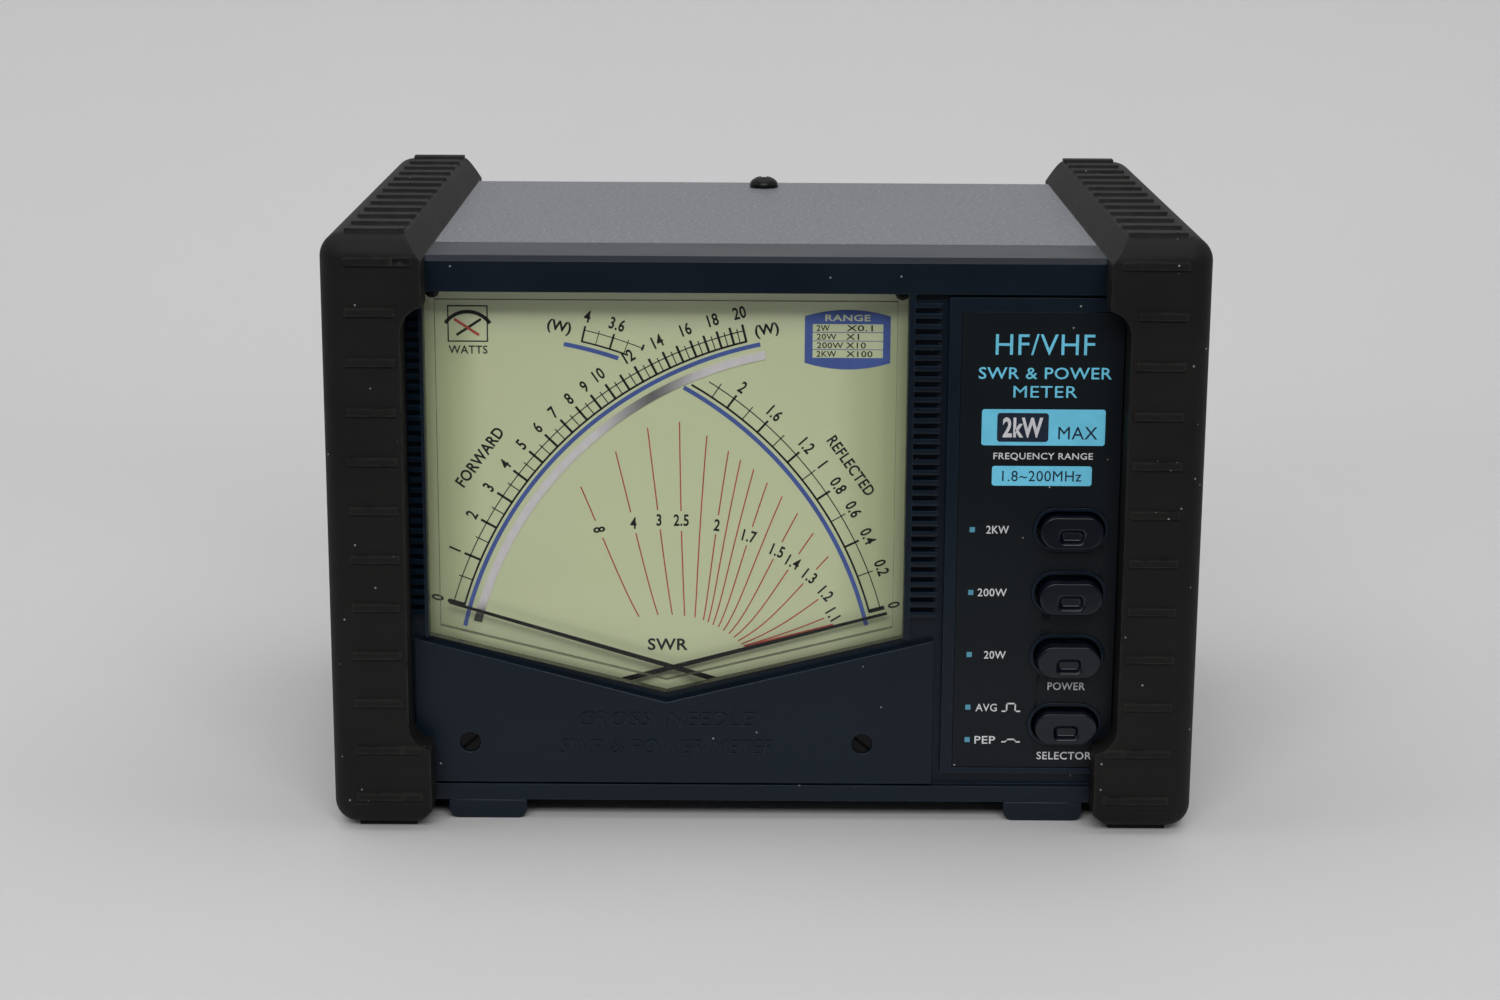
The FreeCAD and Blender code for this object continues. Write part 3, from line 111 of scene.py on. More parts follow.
class Wire:
    """An output socket of a shader node that can be used in arithmetic."""

    def __init__(self, tree, socket=None):
        self.tree = tree
        self.socket = socket

    def node(self, kind, sockets=None, choices=None, out=0):
        made = self.tree.nodes.new("ShaderNode" + kind)
        for key, value in (choices or {}).items():
            setattr(made, key, value)
        for key, value in (sockets or {}).items():
            if isinstance(value, Wire):
                self.tree.links.new(value.socket, made.inputs[key])
            else:
                made.inputs[key].default_value = value
        return Wire(self.tree, made.outputs[out])

    __add__ = __radd__ = sum_of("ADD")
    __sub__ = sum_of("SUBTRACT")
    __rsub__ = sum_of("SUBTRACT", swapped=True)
    __mul__ = __rmul__ = sum_of("MULTIPLY")
    __gt__ = sum_of("GREATER_THAN")
    __lt__ = sum_of("LESS_THAN")

    def smooth(self, low, high):
        """0 below low, 1 above high, and an even curve between."""
        return self.node("MapRange", {"Value": self, "From Min": low, "From Max": high},
                         {"interpolation_type": "SMOOTHSTEP"})

    def blend(self, first, second):
        """A colour between two, with this value as the share of the second."""
        return self.node("Mix", {0: self, 6: first, 7: second}, {"data_type": "RGBA"}, 2)

    def along(self, axis):
        """The part of a position or a direction along X, Y or Z."""
        return self.node("SeparateXYZ", {"Vector": self}, out=axis)

    def relief(self, depth, strength=1.0):
        """The direction that a face has where this value raises it by up to depth mm."""
        return self.node("Bump", {"Strength": strength, "Distance": depth * MM,
                                            "Height": self})


# %% Colours as a painter reads them
def ink(red, green, blue):
    """A colour from 0-255 screen values, as the linear light that shaders use."""
    linear = [(value / 255.0) ** 2.2 for value in (red, green, blue)]
    return (*linear, 1.0)


# %% [markdown]
# ## One recipe for moulded and painted skins
#
# Most of the meter is moulded plastic, rubber or painted sheet. Seen close, all three have the same
# features in different amounts: a slow drift of tone, a fine grain in relief, handled edges, and a
# few specks of dust. One recipe has those amounts as settings. Sizes are in metres on the piece, so
# the grain has its true scale. The edge mask compares the face's own direction with that of a
# rounded copy: the two differ only near an edge.

# %% The skin recipe
def begin(name):
    """A new material, the start of its net, and the position on the piece."""
    made = bpy.data.materials.new(name)
    made.use_nodes = True
    made.node_tree.nodes.clear()
    start = Wire(made.node_tree)
    return made, start, start.node("TexCoord", out="Object")


def close(made, surface):
    outlet = surface.tree.nodes.new("ShaderNodeOutputMaterial")
    surface.tree.links.new(surface.socket, outlet.inputs["Surface"])
    return made


def noise(place, size, detail=2.0):
    return place.node("TexNoise", {"Vector": place, "Scale": 1.0 / size, "Detail": detail})


def scaled(colour, factor):
    return tuple(value * factor for value in colour[:3]) + (1.0,)


def skin(name, colour, rough, drift=0.12, drift_size=0.02, grain=0.02, grain_size=0.0006,
         edge=None, specks=None, fleck=None, inner_only=False, **constants):
    """A procedural skin. edge is (radius, colour, share); specks (size, share); fleck (size,
    colour). inner_only makes the back of each face see-through."""
    made, start, place = begin(name)
    slow = noise(place, drift_size, 3.0)
    fine = noise(place, grain_size)
    tone = slow.smooth(0.35, 0.65).blend(scaled(colour, 1 - drift), scaled(colour, 1 + drift))
    roughness = rough + (slow - 0.5) * 0.12
    if fleck:
        size, fleck_colour = fleck
        spots = noise(place, size, 1.0).smooth(0.52, 0.68)
        tone = (spots * 0.7).blend(tone, fleck_colour)
    if edge:
        radius, edge_colour, share = edge
        rounded = start.node("Bevel", {"Radius": radius}, {"samples": 4})
        flat = start.node("NewGeometry", out="Normal")
        agree = start.node("VectorMath", {0: rounded, 1: flat},
                           {"operation": "DOT_PRODUCT"}, "Value")
        worn = (1.0 - agree).smooth(0.005, 0.12) * noise(place, 0.003, 3.0).smooth(0.3, 0.6)
        tone = (worn * share).blend(tone, edge_colour)
        roughness = roughness - worn * 0.08
    if specks:
        size, share = specks
        grid = {"Vector": place, "Scale": 1.0 / size}
        cells = start.node("TexVoronoi", grid)
        chance = start.node("TexVoronoi", grid, out="Color")
        lucky = start.node("SeparateColor", {"Color": chance})
        mask = (cells < 0.16) * (lucky > 1.0 - share)
        tone = (mask * 0.55).blend(tone, ink(190, 190, 185))
    surface = start.node("BsdfPrincipled",
                         {"Base Color": tone, "Roughness": roughness,
                          "Normal": fine.relief(grain), **constants})
    if inner_only:
        behind = start.node("NewGeometry", out="Backfacing")
        nothing = start.node("BsdfTransparent")
        surface = start.node("MixShader", {0: behind, 1: surface, 2: nothing})
    return close(made, surface)


# %% [markdown]
# ## The outside finishes
#
# The bezel and panel are a dark navy moulding with a fine spark-eroded grain. The bumpers are soft
# black rubber, which is rougher, shows dust and greys at its edges. The cover is sheet steel with a
# speckled blue-grey powder coat, and the panel inlay is a satin black printed sheet.

# %% Make the outside finishes
SOFT_SHINE = {"Specular IOR Level": 0.22}
navy = skin("navy_moulding", ink(14, 27, 38), 0.36, drift=0.10, grain=0.012, grain_size=0.0004,
            edge=(0.0004, ink(52, 68, 88), 0.30), specks=(0.0012, 0.012),
            **{"Specular IOR Level": 0.3})
rubber = skin("bumper_rubber", ink(24, 24, 23), 0.64, drift=0.16, drift_size=0.015, grain=0.03,
              grain_size=0.0005, edge=(0.0006, ink(70, 69, 66), 0.35), specks=(0.0012, 0.03),
              **SOFT_SHINE)
cover_paint = skin("cover_powder_coat", ink(104, 107, 113), 0.46, drift=0.04, grain=0.03,
                   grain_size=0.0007, fleck=(0.0008, ink(142, 144, 148)),
                   edge=(0.0004, ink(150, 152, 156), 0.25))
inlay_black = skin("inlay_black", ink(23, 28, 32), 0.36, drift=0.06, grain=0.006,
                   grain_size=0.0003, specks=(0.0012, 0.008), **SOFT_SHINE)
key_navy = skin("key_navy", ink(10, 17, 27), 0.26, drift=0.06, grain=0.004, grain_size=0.0003,
                edge=(0.0003, ink(88, 98, 112), 0.35),
                **{"Specular IOR Level": 0.3, "Coat Weight": 0.25, "Coat Roughness": 0.1})
black_plastic = skin("black_moulding", ink(18, 18, 19), 0.5, grain=0.015, **SOFT_SHINE)
adjuster_black = skin("adjuster_moulding", ink(7, 8, 9), 0.5, grain=0.01, **SOFT_SHINE)
print("outside finishes:", navy.name, rubber.name, cover_paint.name, inlay_black.name)

# %% [markdown]
# ## Metals
#
# Plated and turned metal is bright, so its tone matters less than the fine marks that spread its
# reflections. On the sheet, the ground magnet and the wound wire those marks run one way: noise
# that is stretched by scaling the position unevenly before it is used. Elsewhere the marks are even.

# %% The metal recipe
def metal(name, colour, rough, stretch=(1.0, 1.0, 1.0), mark_size=0.0004, stain=None):
    made, start, place = begin(name)
    pulled = start.node("Mapping", {"Vector": place, "Scale": stretch})
    marks = noise(pulled, mark_size, 4.0)
    tone = noise(place, 0.008, 3.0).smooth(0.3, 0.7).blend(scaled(colour, 0.82), colour)
    if stain:
        tone = (noise(place, 0.004, 5.0).smooth(0.55, 0.75) * 0.5).blend(tone, stain)
    return close(made, start.node("BsdfPrincipled",
                                  {"Base Color": tone, "Metallic": 1.0,
                                   "Normal": marks.relief(0.004, 0.6),
                                   "Roughness": rough + (marks - 0.5) * 0.2}))


# %% Make the metals
zinc_sheet = metal("zinc_sheet", ink(188, 190, 192), 0.36, stretch=(1.0, 0.08, 1.0),
                   stain=ink(150, 152, 150))
bright_screw = metal("bright_screw", ink(196, 197, 196), 0.3)
nickel = metal("nickel_plate", ink(206, 203, 196), 0.2)
brass = metal("turned_brass", ink(196, 160, 92), 0.3, stain=ink(140, 104, 60))
silvered = metal("silvered_contact", ink(214, 206, 180), 0.24)
winding = metal("enamelled_wire", ink(150, 76, 40), 0.32, stretch=(1.0, 1.0, 12.0), mark_size=0.001)
soft_iron = metal("plated_iron", ink(150, 152, 156), 0.42, stain=ink(96, 92, 88))
magnet = metal("ground_magnet", ink(96, 98, 102), 0.38, stretch=(0.1, 1.0, 1.0))
black_screw = skin("blackened_screw", ink(22, 22, 23), 0.36, grain=0.01, Metallic=0.6,
                   edge=(0.0002, ink(90, 90, 92), 0.4))
print("metals made")

# %% [markdown]
# ## Boards, ceramics and small mouldings
#
# These are mostly hidden. A circuit board is green lacquer over copper tracks: square cells with
# lighter borders stand for the runs, and the same mask lifts them slightly.

# %% Make the inner finishes
def board_finish(name):
    made, start, place = begin(name)
    turned_place = start.node("Mapping", {"Vector": place, "Rotation": (0.6, 0.7, 0.0)})
    cells = start.node("TexVoronoi", {"Vector": turned_place, "Scale": 260.0},
                       {"distance": "CHEBYCHEV", "feature": "F1"})
    mask = cells.smooth(0.42, 0.46)
    tone = mask.blend(ink(22, 92, 52), ink(48, 128, 72))
    return close(made, start.node("BsdfPrincipled",
                                  {"Base Color": tone, "Roughness": 0.32 - mask * 0.06,
                                   "Normal": mask.relief(0.03, 0.6)}))


board_green = board_finish("board_green")
nylon = skin("white_nylon", ink(214, 212, 200), 0.42, drift=0.05, grain=0.008)
opal = skin("opal_diffuser", ink(236, 236, 228), 0.4, drift=0.03, grain=0.004)
switch_grey = skin("switch_moulding", ink(52, 54, 58), 0.45, grain=0.012)
part_mix = skin("board_parts", ink(40, 46, 78), 0.34, drift=0.5, drift_size=0.009, grain=0.01)
ferrite = skin("ferrite_grey", ink(58, 58, 60), 0.55, drift=0.1, grain=0.03, grain_size=0.0003)
insulator = skin("socket_insulator", ink(216, 210, 188), 0.4, drift=0.05, grain=0.006)
print("inner finishes made")

# %% [markdown]
# ## The window and the lamps
#
# The window is clear and 1.5 mm thick. Its finish mixes a see-through shader with a glossy one, and
# the Fresnel value decides how much of each: little face on, more at a grazing angle. Fine rubbing
# marks make the sheen uneven. The side walls of the rim carry painted shade: faces that turn away
# from the front take a dark olive share, which stands in for the light they trap.

# %% Make the clear finishes
def clear(name, tint, shine, wall_shade_share):
    made, start, place = begin(name)
    haze = noise(place, 0.006, 4.0)
    fresnel = start.node("Fresnel", {"IOR": 1.49})
    through = start.node("BsdfTransparent", {"Color": tint})
    sheen = start.node("BsdfPrincipled", {"Base Color": ink(235, 238, 236), "Metallic": 1.0,
                                          "Roughness": 0.04 + haze * 0.08})
    share = fresnel * shine + haze.smooth(0.6, 0.8) * 0.004
    flat = start.node("MixShader", {0: share, 1: through, 2: sheen})
    # Painted shade: faces that turn away from the front take a dark olive colour instead of being clear.
    facing = start.node("NewGeometry", out="Normal").along("Y")
    painted_wall_shade = 1.0 - (facing * facing).smooth(0.2, 0.6)
    side = start.node("BsdfPrincipled", {"Base Color": ink(62, 66, 48),
                                         "Roughness": 0.3 + haze * 0.1})
    return close(made, start.node("MixShader", {0: painted_wall_shade * wall_shade_share, 1: flat, 2: side}))


window_clear = clear("window_clear", ink(254, 255, 253), 0.35, 0.75)
lamp_clear = clear("lamp_clear", ink(244, 240, 220), 1.0, 0.0)

# %% [markdown]
# ## The dial sheet
#
# The dial is a pale green plastic sheet with the faintest mottle. Painted shade darkens it towards
# the upright sides of the window, whose places are read from the window piece itself, and painted
# light, standing for light from the lamps above, lifts the tone near the top.

# %% Make the dial finish
window_low, window_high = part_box("meter_window")
dial_low, dial_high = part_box("dial_plate")


def dial_finish():
    made, start, place = begin("dial_sheet")
    across = place.along("X")
    # Painted shade: the tone falls towards the upright sides of the window.
    left = (across - window_low.x).smooth(5 * MM, 11 * MM)
    right = (window_high.x - across).smooth(6 * MM, 15 * MM)
    mottle = noise(place, 0.012, 4.0).smooth(0.3, 0.7)
    tone = (left * right).blend(ink(196, 203, 164), ink(222, 227, 190))
    tone = (mottle * 0.10).blend(tone, ink(216, 226, 178))
    # Painted light: the tone is lifted towards a pale cream near the top of the window.
    top = (place.along("Z") - window_high.z).smooth(-11 * MM, 0.0)
    tone = (top * 0.9).blend(tone, ink(250, 253, 224))
    return close(made, start.node("BsdfPrincipled",
                                  {"Base Color": tone, "Roughness": 0.5,
                                   "Normal": noise(place, 0.0004).relief(0.004, 0.5)}))


dial_sheet = dial_finish()


# %% [markdown]
# The mirror strip is bright foil, drawn with a plain non-metal finish whose colour is painted
# reflection: pale, for a pale ceiling, along most of its length and dark, for the dark of the room,
# over a short stretch near its top, so its tone falls and rises again along the arc. The dark foot
# is painted reflection too.

# %% Make the mirror finish
DARK_REFLECTION_FROM, PALE_REFLECTION_FROM = -0.036, -0.0245     # metres across, where the dark starts and ends
FOOT_TOP = 0.0385                           # metres up, where the dark foot ends


def mirror_finish():
    made, start, place = begin("mirror_foil")
    middle = place.along("X") - noise(place, 0.01, 2.0) * 0.004
    # Painted reflection: the tone dips to dark grey over a stretch across the arc, for the dark room.
    into_dark_reflection = (middle - DARK_REFLECTION_FROM).smooth(0.0, 14 * MM)
    painted_dark_reflection = into_dark_reflection * (1.0 - (middle - PALE_REFLECTION_FROM).smooth(0.0, 13 * MM))
    # Painted reflection: the foil turns dark grey at its foot.
    foot = 1.0 - (place.along("Z") - FOOT_TOP).smooth(0.0, 3 * MM)
    streaks = noise(place, 0.0016, 4.0).smooth(0.35, 0.7)
    # Painted reflection: a pale, slightly pink tone for the ceiling that the foil would mirror.
    tone = (streaks * 0.5).blend(ink(232, 222, 232), ink(242, 238, 244))
    tone = painted_dark_reflection.blend(tone, ink(108, 108, 110))
    tone = foot.blend(tone, ink(60, 60, 62))
    return close(made, start.node("BsdfPrincipled",
                                  {"Base Color": tone, "Roughness": 0.3 + painted_dark_reflection * 0.1}))


mirror = mirror_finish()
print("dial face", round((dial_high.x - dial_low.x) / MM, 1), "mm wide")

# %% [markdown]
# ## Printing inks
#
# Screen print is a thin, slightly uneven film. The same skin recipe serves with no edges or dust.

# %% Make the inks
def film(name, colour, rough, drift, drift_size, grain=0.004):
    return skin(name, ink(*colour), rough, drift=drift, drift_size=drift_size, grain=grain)


black_ink = film("black_ink", (16, 17, 15), 0.6, 0.15, 0.003)
blue_ink = film("blue_ink", (76, 98, 176), 0.6, 0.06, 0.004)
red_ink = film("red_ink", (190, 76, 66), 0.6, 0.08, 0.003)
pale_ink = film("pale_ink", (220, 226, 190), 0.6, 0.04, 0.02)
sky_ink = film("sky_ink", (112, 206, 238), 0.4, 0.05, 0.004, 0.005)
grey_ink = film("grey_ink", (214, 214, 218), 0.42, 0.05, 0.003, 0.005)
mark_ink = film("mark_ink", (84, 150, 176), 0.5, 0.05, 0.004, 0.005)
dark_ink = film("dark_ink", (20, 34, 52), 0.42, 0.05, 0.003, 0.005)
print("inks made")

# %% [markdown]
# ## Dressing the pieces that keep their shape
#
# Most inner pieces already have the right shape. Each one is given its finish by name, where a star
# stands for forward and reflected. The loop stops with an error if a piece is missing from the list,
# so nothing is left bare.

# %% Hand out the finishes
dressing = {
    cover_paint: "top_cover",
    zinc_sheet: "chassis sensor_case sensor_lid",
    navy: "front_bezel lower_fascia control_panel front_feet",
    inlay_black: "panel_inlay",
    rubber: "right_bumper left_bumper",
    black_screw: "cover_screws dial_screws",
    adjuster_black: "*_zero_screw",
    bright_screw: "short_screws socket_screws *_staff",
    window_clear: "meter_window",
    dial_sheet: "dial_plate",
    mirror: "dial_mirror",
    opal: "light_diffuser",
    black_plastic: "meter_housing supply_socket *_needle",
    board_green: "lamp_board control_board sensor_board",
    lamp_clear: "meter_lamps",
    winding: "*_coil",
    brass: "core_straps bridges jewel_screws board_standoffs through_line *_zero_arm",
    soft_iron: "yokes",
    magnet: "core_magnets",
    key_navy: "button_2kw button_200w button_20w button_selector",
    nylon: "plunger_2kw plunger_200w plunger_20w plunger_selector",
    switch_grey: "range_switch_bank selector_switch",
    part_mix: "board_components",
    ferrite: "coupler_toroid",
    nickel: "transmitter_socket antenna_socket supply_nut",
    insulator: "socket_insulators",
    silvered: "socket_contacts supply_pin",
}
finish_of = {piece.replace("*", side): finish for finish, members in dressing.items()
             for piece in members.split() for side in ("forward", "reflected")}
for piece, cad in nodes.items():
    cad.data.materials.clear()
    cad.data.materials.append(finish_of[piece])


def stand_in(node, name, bm, smooth=False):
    """Settles a finer mesh that takes the place of a plain piece, with its finish and body."""
    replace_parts(settle(name, bm, finish_of[node], owner[node], smooth), node)


print("dressed", len(nodes), "pieces")

# %% [markdown]
# ## Rounding the moulded edges
#
# No moulding has a perfectly sharp edge. Each outer piece gets a copy whose flat faces are joined
# up first, so that only true corners are left, and those are bevelled in two steps. Wide faces stay
# flat and the small faces of the rounds are shaded smooth. The copy stands for the plain piece.

# %% Rounded copies of the outer mouldings
WIDE_FACE = 12 * MM * MM        # from this area on, a face is shaded flat
BAR_HEIGHTS = (6.9, 16.3, 110.3)
BAR_INNER, BAR_OUTER = 65.4, 69.0
BAR_FRONT, BAR_BACK, BAR_HALF = -65.99, -64.9, 0.69


def bar_ends(bm, side):
    """The bars beside the corner blocks reach further in than the others do."""
    for height in BAR_HEIGHTS:
        corners = [(x, y, z) for x in (BAR_INNER, BAR_OUTER) for y in (BAR_FRONT, BAR_BACK)
                   for z in (height - BAR_HALF, height + BAR_HALF)]
        made = bmesh.ops.create_cube(bm, size=1.0)["verts"]
        for vert, (x, y, z) in zip(sorted(made, key=lambda v: tuple(v.co)), corners):
            vert.co = Vector((side * x, y, z)) * MM


def rounded_copy(node, width, name):
    bm = bmesh.new()
    bm.from_mesh(nodes[node].data)
    bmesh.ops.remove_doubles(bm, verts=bm.verts, dist=0.002 * MM)
    bmesh.ops.dissolve_limit(bm, angle_limit=math.radians(0.5), verts=bm.verts, edges=bm.edges)
    if node.endswith("bumper"):
        bar_ends(bm, 1 if node.startswith("right") else -1)
    sharp = [edge for edge in bm.edges if len(edge.link_faces) == 2
             and edge.calc_face_angle(0.0) > math.radians(35.0)]
    bmesh.ops.bevel(bm, geom=sharp, offset=width * MM, segments=2, profile=0.5, affect="EDGES",
                    clamp_overlap=True)
    for face in bm.faces:
        face.smooth = face.calc_area() < WIDE_FACE
    stand_in(node, name, bm)


for node, width, name in (("right_bumper", 0.5, "right_rubber_bumper"),
                          ("left_bumper", 0.5, "left_rubber_bumper"),
                          ("front_bezel", 0.22, "moulded_front_bezel"),
                          ("lower_fascia", 0.3, "moulded_lower_fascia"),
                          ("control_panel", 0.22, "moulded_control_panel"),
                          ("panel_inlay", 0.08, "printed_panel_inlay"),
                          ("front_feet", 0.4, "moulded_feet"),
                          ("top_cover", 0.3, "sheet_cover")):
    rounded_copy(node, width, name)
# %% [markdown]
# ## Turning on a lathe
#
# Screws and sockets are turned parts: a profile of radius and height swept round an axis. A rule may
# shift any point, which cuts a driver recess or a thread into the same closed surface, so no Boolean
# is needed and the result can't leak.

# %% The lathe
def band(bm, low, high):
    """Joins two rings of the same count with a band of faces."""
    for k in range(len(low)):
        n = (k + 1) % len(low)
        bm.faces.new((low[k], low[n], high[n], high[k]))


def turn(bm, profile, origin, axis, around=48, rule=None):
    """Sweeps (radius, height) in mm about the axis. The first and last points close on the axis."""
    spin = Vector((0, 0, 1)).rotation_difference(Vector(axis)).to_matrix()
    base = Vector(origin)

    def put(radius, height, angle):
        if rule:
            radius, height = rule(radius, height, angle)
        spot = Vector((radius * math.cos(angle), radius * math.sin(angle), height))
        return bm.verts.new((base + spin @ spot) * MM)

    angles = [math.tau * k / around for k in range(around)]
    rings = [[put(radius, height, angle) for angle in angles] for radius, height in profile]
    for low, high in zip(rings, rings[1:]):
        band(bm, low, high)
    for ring in (rings[0], rings[-1]):
        middle = sum((vert.co for vert in ring), Vector()) / around
        hub = bm.verts.new(middle)
        for k in range(around):
            bm.faces.new((ring[k], ring[(k + 1) % around], hub))


def slope(start, stop, steps):
    """Evenly spaced (radius, height) points from start to stop, without the start."""
    return [(start[0] + (stop[0] - start[0]) * k / steps, start[1] + (stop[1] - start[1]) * k / steps)
            for k in range(1, steps + 1)]


def ease(value, low, high):
    share = min(1.0, max(0.0, (value - low) / (high - low)))
    return share * share * (3 - 2 * share)


# %% [markdown]
# ## Screws
#
# A pan head is a low dome with a crossed recess, and the shank has a rolled thread. The recess is a
# dip in the dome wherever a point lies within a narrow band of either crossing line. The thread is a
# ripple in the radius that moves one pitch along for each turn round.

# %% Model the screws
PITCH = 0.5             # mm, for an M3 thread
PAN_HEAD = (2.75, 2.0)  # mm, radius and height of the heads inside and on the flanges
CASE_HEAD = (3.1, 2.4)
DIAL_HEAD = (1.4, 1.2)
M3 = 1.5                # mm, shank radius
SHANK = 5.0             # mm, shank length


def screw(bm, seat, axis, head_round, head_tall, shank_round, shank_long):
    bowl = [(head_round * math.sin(a), head_tall * (0.25 + 0.75 * math.cos(a)))
            for a in [math.radians(d) for d in (4, 10, 16, 22, 28, 34, 40, 46, 54, 62, 72, 84)]]
    rim = [(head_round, head_tall * 0.3), (head_round, 0.05), (head_round - 0.15, 0.0)]
    shank = slope((shank_round, -0.05), (shank_round, -shank_long + 0.5), int(shank_long * 6))
    tip = [(shank_round * 0.8, -shank_long + 0.15), (shank_round * 0.5, -shank_long)]

    def rule(radius, height, angle):
        if height > 0.05:
            x, y = radius * math.cos(angle), radius * math.sin(angle)
            band = 0.14 * head_round + 0.02
            reach = head_round * 0.6
            arm = max((1 - ease(abs(x), band, band + 0.18)) * (1 - ease(abs(y), reach - 0.3, reach)),
                      (1 - ease(abs(y), band, band + 0.18)) * (1 - ease(abs(x), reach - 0.3, reach)))
            height -= arm * head_tall * 0.5 * (1 - 0.5 * ease(radius, 0.0, reach))
        elif radius <= shank_round + 0.001 and height < -0.2:
            wave = abs(((height / PITCH - angle / math.tau) % 1.0) * 2 - 1)
            radius -= 0.22 * wave * ease(-height, 0.2, 0.7) * (shank_round / 1.5)
        return radius, height

    turn(bm, bowl + rim + [(shank_round + 0.01, 0.0)] + shank + tip, seat, axis, 56, rule)


def screws_like(node, name, seats, axis_of, head, shank_round=M3):
    bm = bmesh.new()
    for seat in seats:
        screw(bm, seat, axis_of(seat), *head, shank_round, SHANK)
    stand_in(node, name, bm, smooth=True)


def side_axis(seat):
    if abs(seat[0]) > 70:
        return (math.copysign(1, seat[0]), 0, 0)
    return (0, 0, 1)


case_half, case_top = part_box("top_cover")[1].x / MM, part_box("top_cover")[1].z / MM
lid_seats = [(0.0, 44.2, case_top)]
lid_seats += [(side * case_half, y, 22.0) for side in (-1, 1) for y in (-30.0, 30.0)]
screws_like("cover_screws", "black_cover_screws", lid_seats, side_axis, CASE_HEAD)

# %% [markdown]
# ## Push button caps
#
# A cap is a long round-ended tablet with a soft rim. In its face is a small dished pocket for the
# fingertip, low of the middle. The cap is built as rings that shrink towards the middle, and a
# height rule gives the rim, the slight crown and the pocket.

# %% Model the caps
CAP_WIDE, CAP_TALL = 12.0, 6.2              # mm
POCKET_HALF, POCKET_MID = (1.35, 0.35), -0.75
POCKET_DEEP, CROWN = 0.95, 0.10
AROUND = 128                                # points round a cap


def tablet_point(angle, wide, tall):
    """A point on a round-ended outline at an angle seen from its middle."""
    half, straight = tall / 2, (wide - tall) / 2
    c, s = math.cos(angle), math.sin(angle)
    if abs(s) > 1e-9 and abs(c) * half / abs(s) <= straight:
        return (math.copysign(half * abs(c) / abs(s), c), math.copysign(half, s))
    reach = straight * abs(c) + math.sqrt(max(half * half - (straight * s) ** 2, 0.0))
    return (reach * c, reach * s)


def key_cap(node, name):
    low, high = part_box(node)
    mid_x, mid_z = (low.x + high.x) / 2 / MM, (low.z + high.z) / 2 / MM
    front, deep = low.y / MM, (high.y - low.y) / MM
    rings = [(0.03 * k, 0.0) for k in range(1, 32)]
    rings += [(0.95, 0.03), (0.97, 0.10), (0.985, 0.22), (1.0, 0.5), (1.0, 2.0),
              (1.0, deep - 0.3), (0.97, deep)]
    bm = bmesh.new()
    made = []
    for share, back in rings:
        ring = []
        for k in range(AROUND):
            x, z = tablet_point(math.tau * k / AROUND, CAP_WIDE, CAP_TALL)
            x, z = x * share, z * share
            y = front + back
            if back < 0.05:
                across, up = abs(x) - POCKET_HALF[0], abs(z - POCKET_MID) - POCKET_HALF[1]
                reach = math.hypot(max(across, 0.0), max(up, 0.0))
                y += POCKET_DEEP * (1 - ease(reach, 0.25, 1.25)) + CROWN * (x * 2 / CAP_WIDE) ** 2
            ring.append(bm.verts.new((Vector((mid_x + x, y, mid_z + z))) * MM))
        made.append(ring)
    for a, b in zip(made, made[1:]):
        band(bm, a, b)
    bm.faces.new(made[0])
    bm.faces.new(list(reversed(made[-1])))
    stand_in(node, name, bm, smooth=True)


for key in ("2kw", "200w", "20w", "selector"):
    key_cap("button_" + key, "cap_" + key)

# %% [markdown]
# ## Sockets at the back
#
# The two coaxial sockets have a square flange and a barrel with a coarse outside thread, and the
# barrel's front is notched so that a plug can't turn. The barrel is a turned piece whose rule cuts
# the thread into the outside only. The small supply socket and its nut keep their plain shape.

# %% Model the sockets
COAX_PITCH = 25.4 / 24      # mm: 24 threads to the inch
FLANGE_BACK, FLANGE_FRONT = 52.0, 53.6
FLANGE_HALF, FLANGE_CORNER = 12.7, 2.0
SCREW_OFFSET = 9.07         # mm from the middle of a socket to a flange screw


def plate(bm, corners, back, front):
    """A flat plate that faces front and rear, from its corner points in mm."""
    low = [bm.verts.new(Vector((x, back, z)) * MM) for x, z in corners]
    high = [bm.verts.new(Vector((x, front, z)) * MM) for x, z in corners]
    count = len(corners)
    bm.faces.new(low)
    bm.faces.new(list(reversed(high)))
    for k in range(count):
        n = (k + 1) % count
        bm.faces.new((low[k], high[k], high[n], low[n]))


def rounded_box(low_x, low_z, high_x, high_z, corner, steps=5):
    """The outline of a rectangle with round corners."""
    outline = []
    for x, z, start in ((high_x - corner, high_z - corner, 0), (low_x + corner, high_z - corner, 90),
                        (low_x + corner, low_z + corner, 180), (high_x - corner, low_z + corner, 270)):
        for k in range(steps + 1):
            a = math.radians(start + 90 / steps * k)
            outline.append((x + corner * math.cos(a), z + corner * math.sin(a)))
    return outline


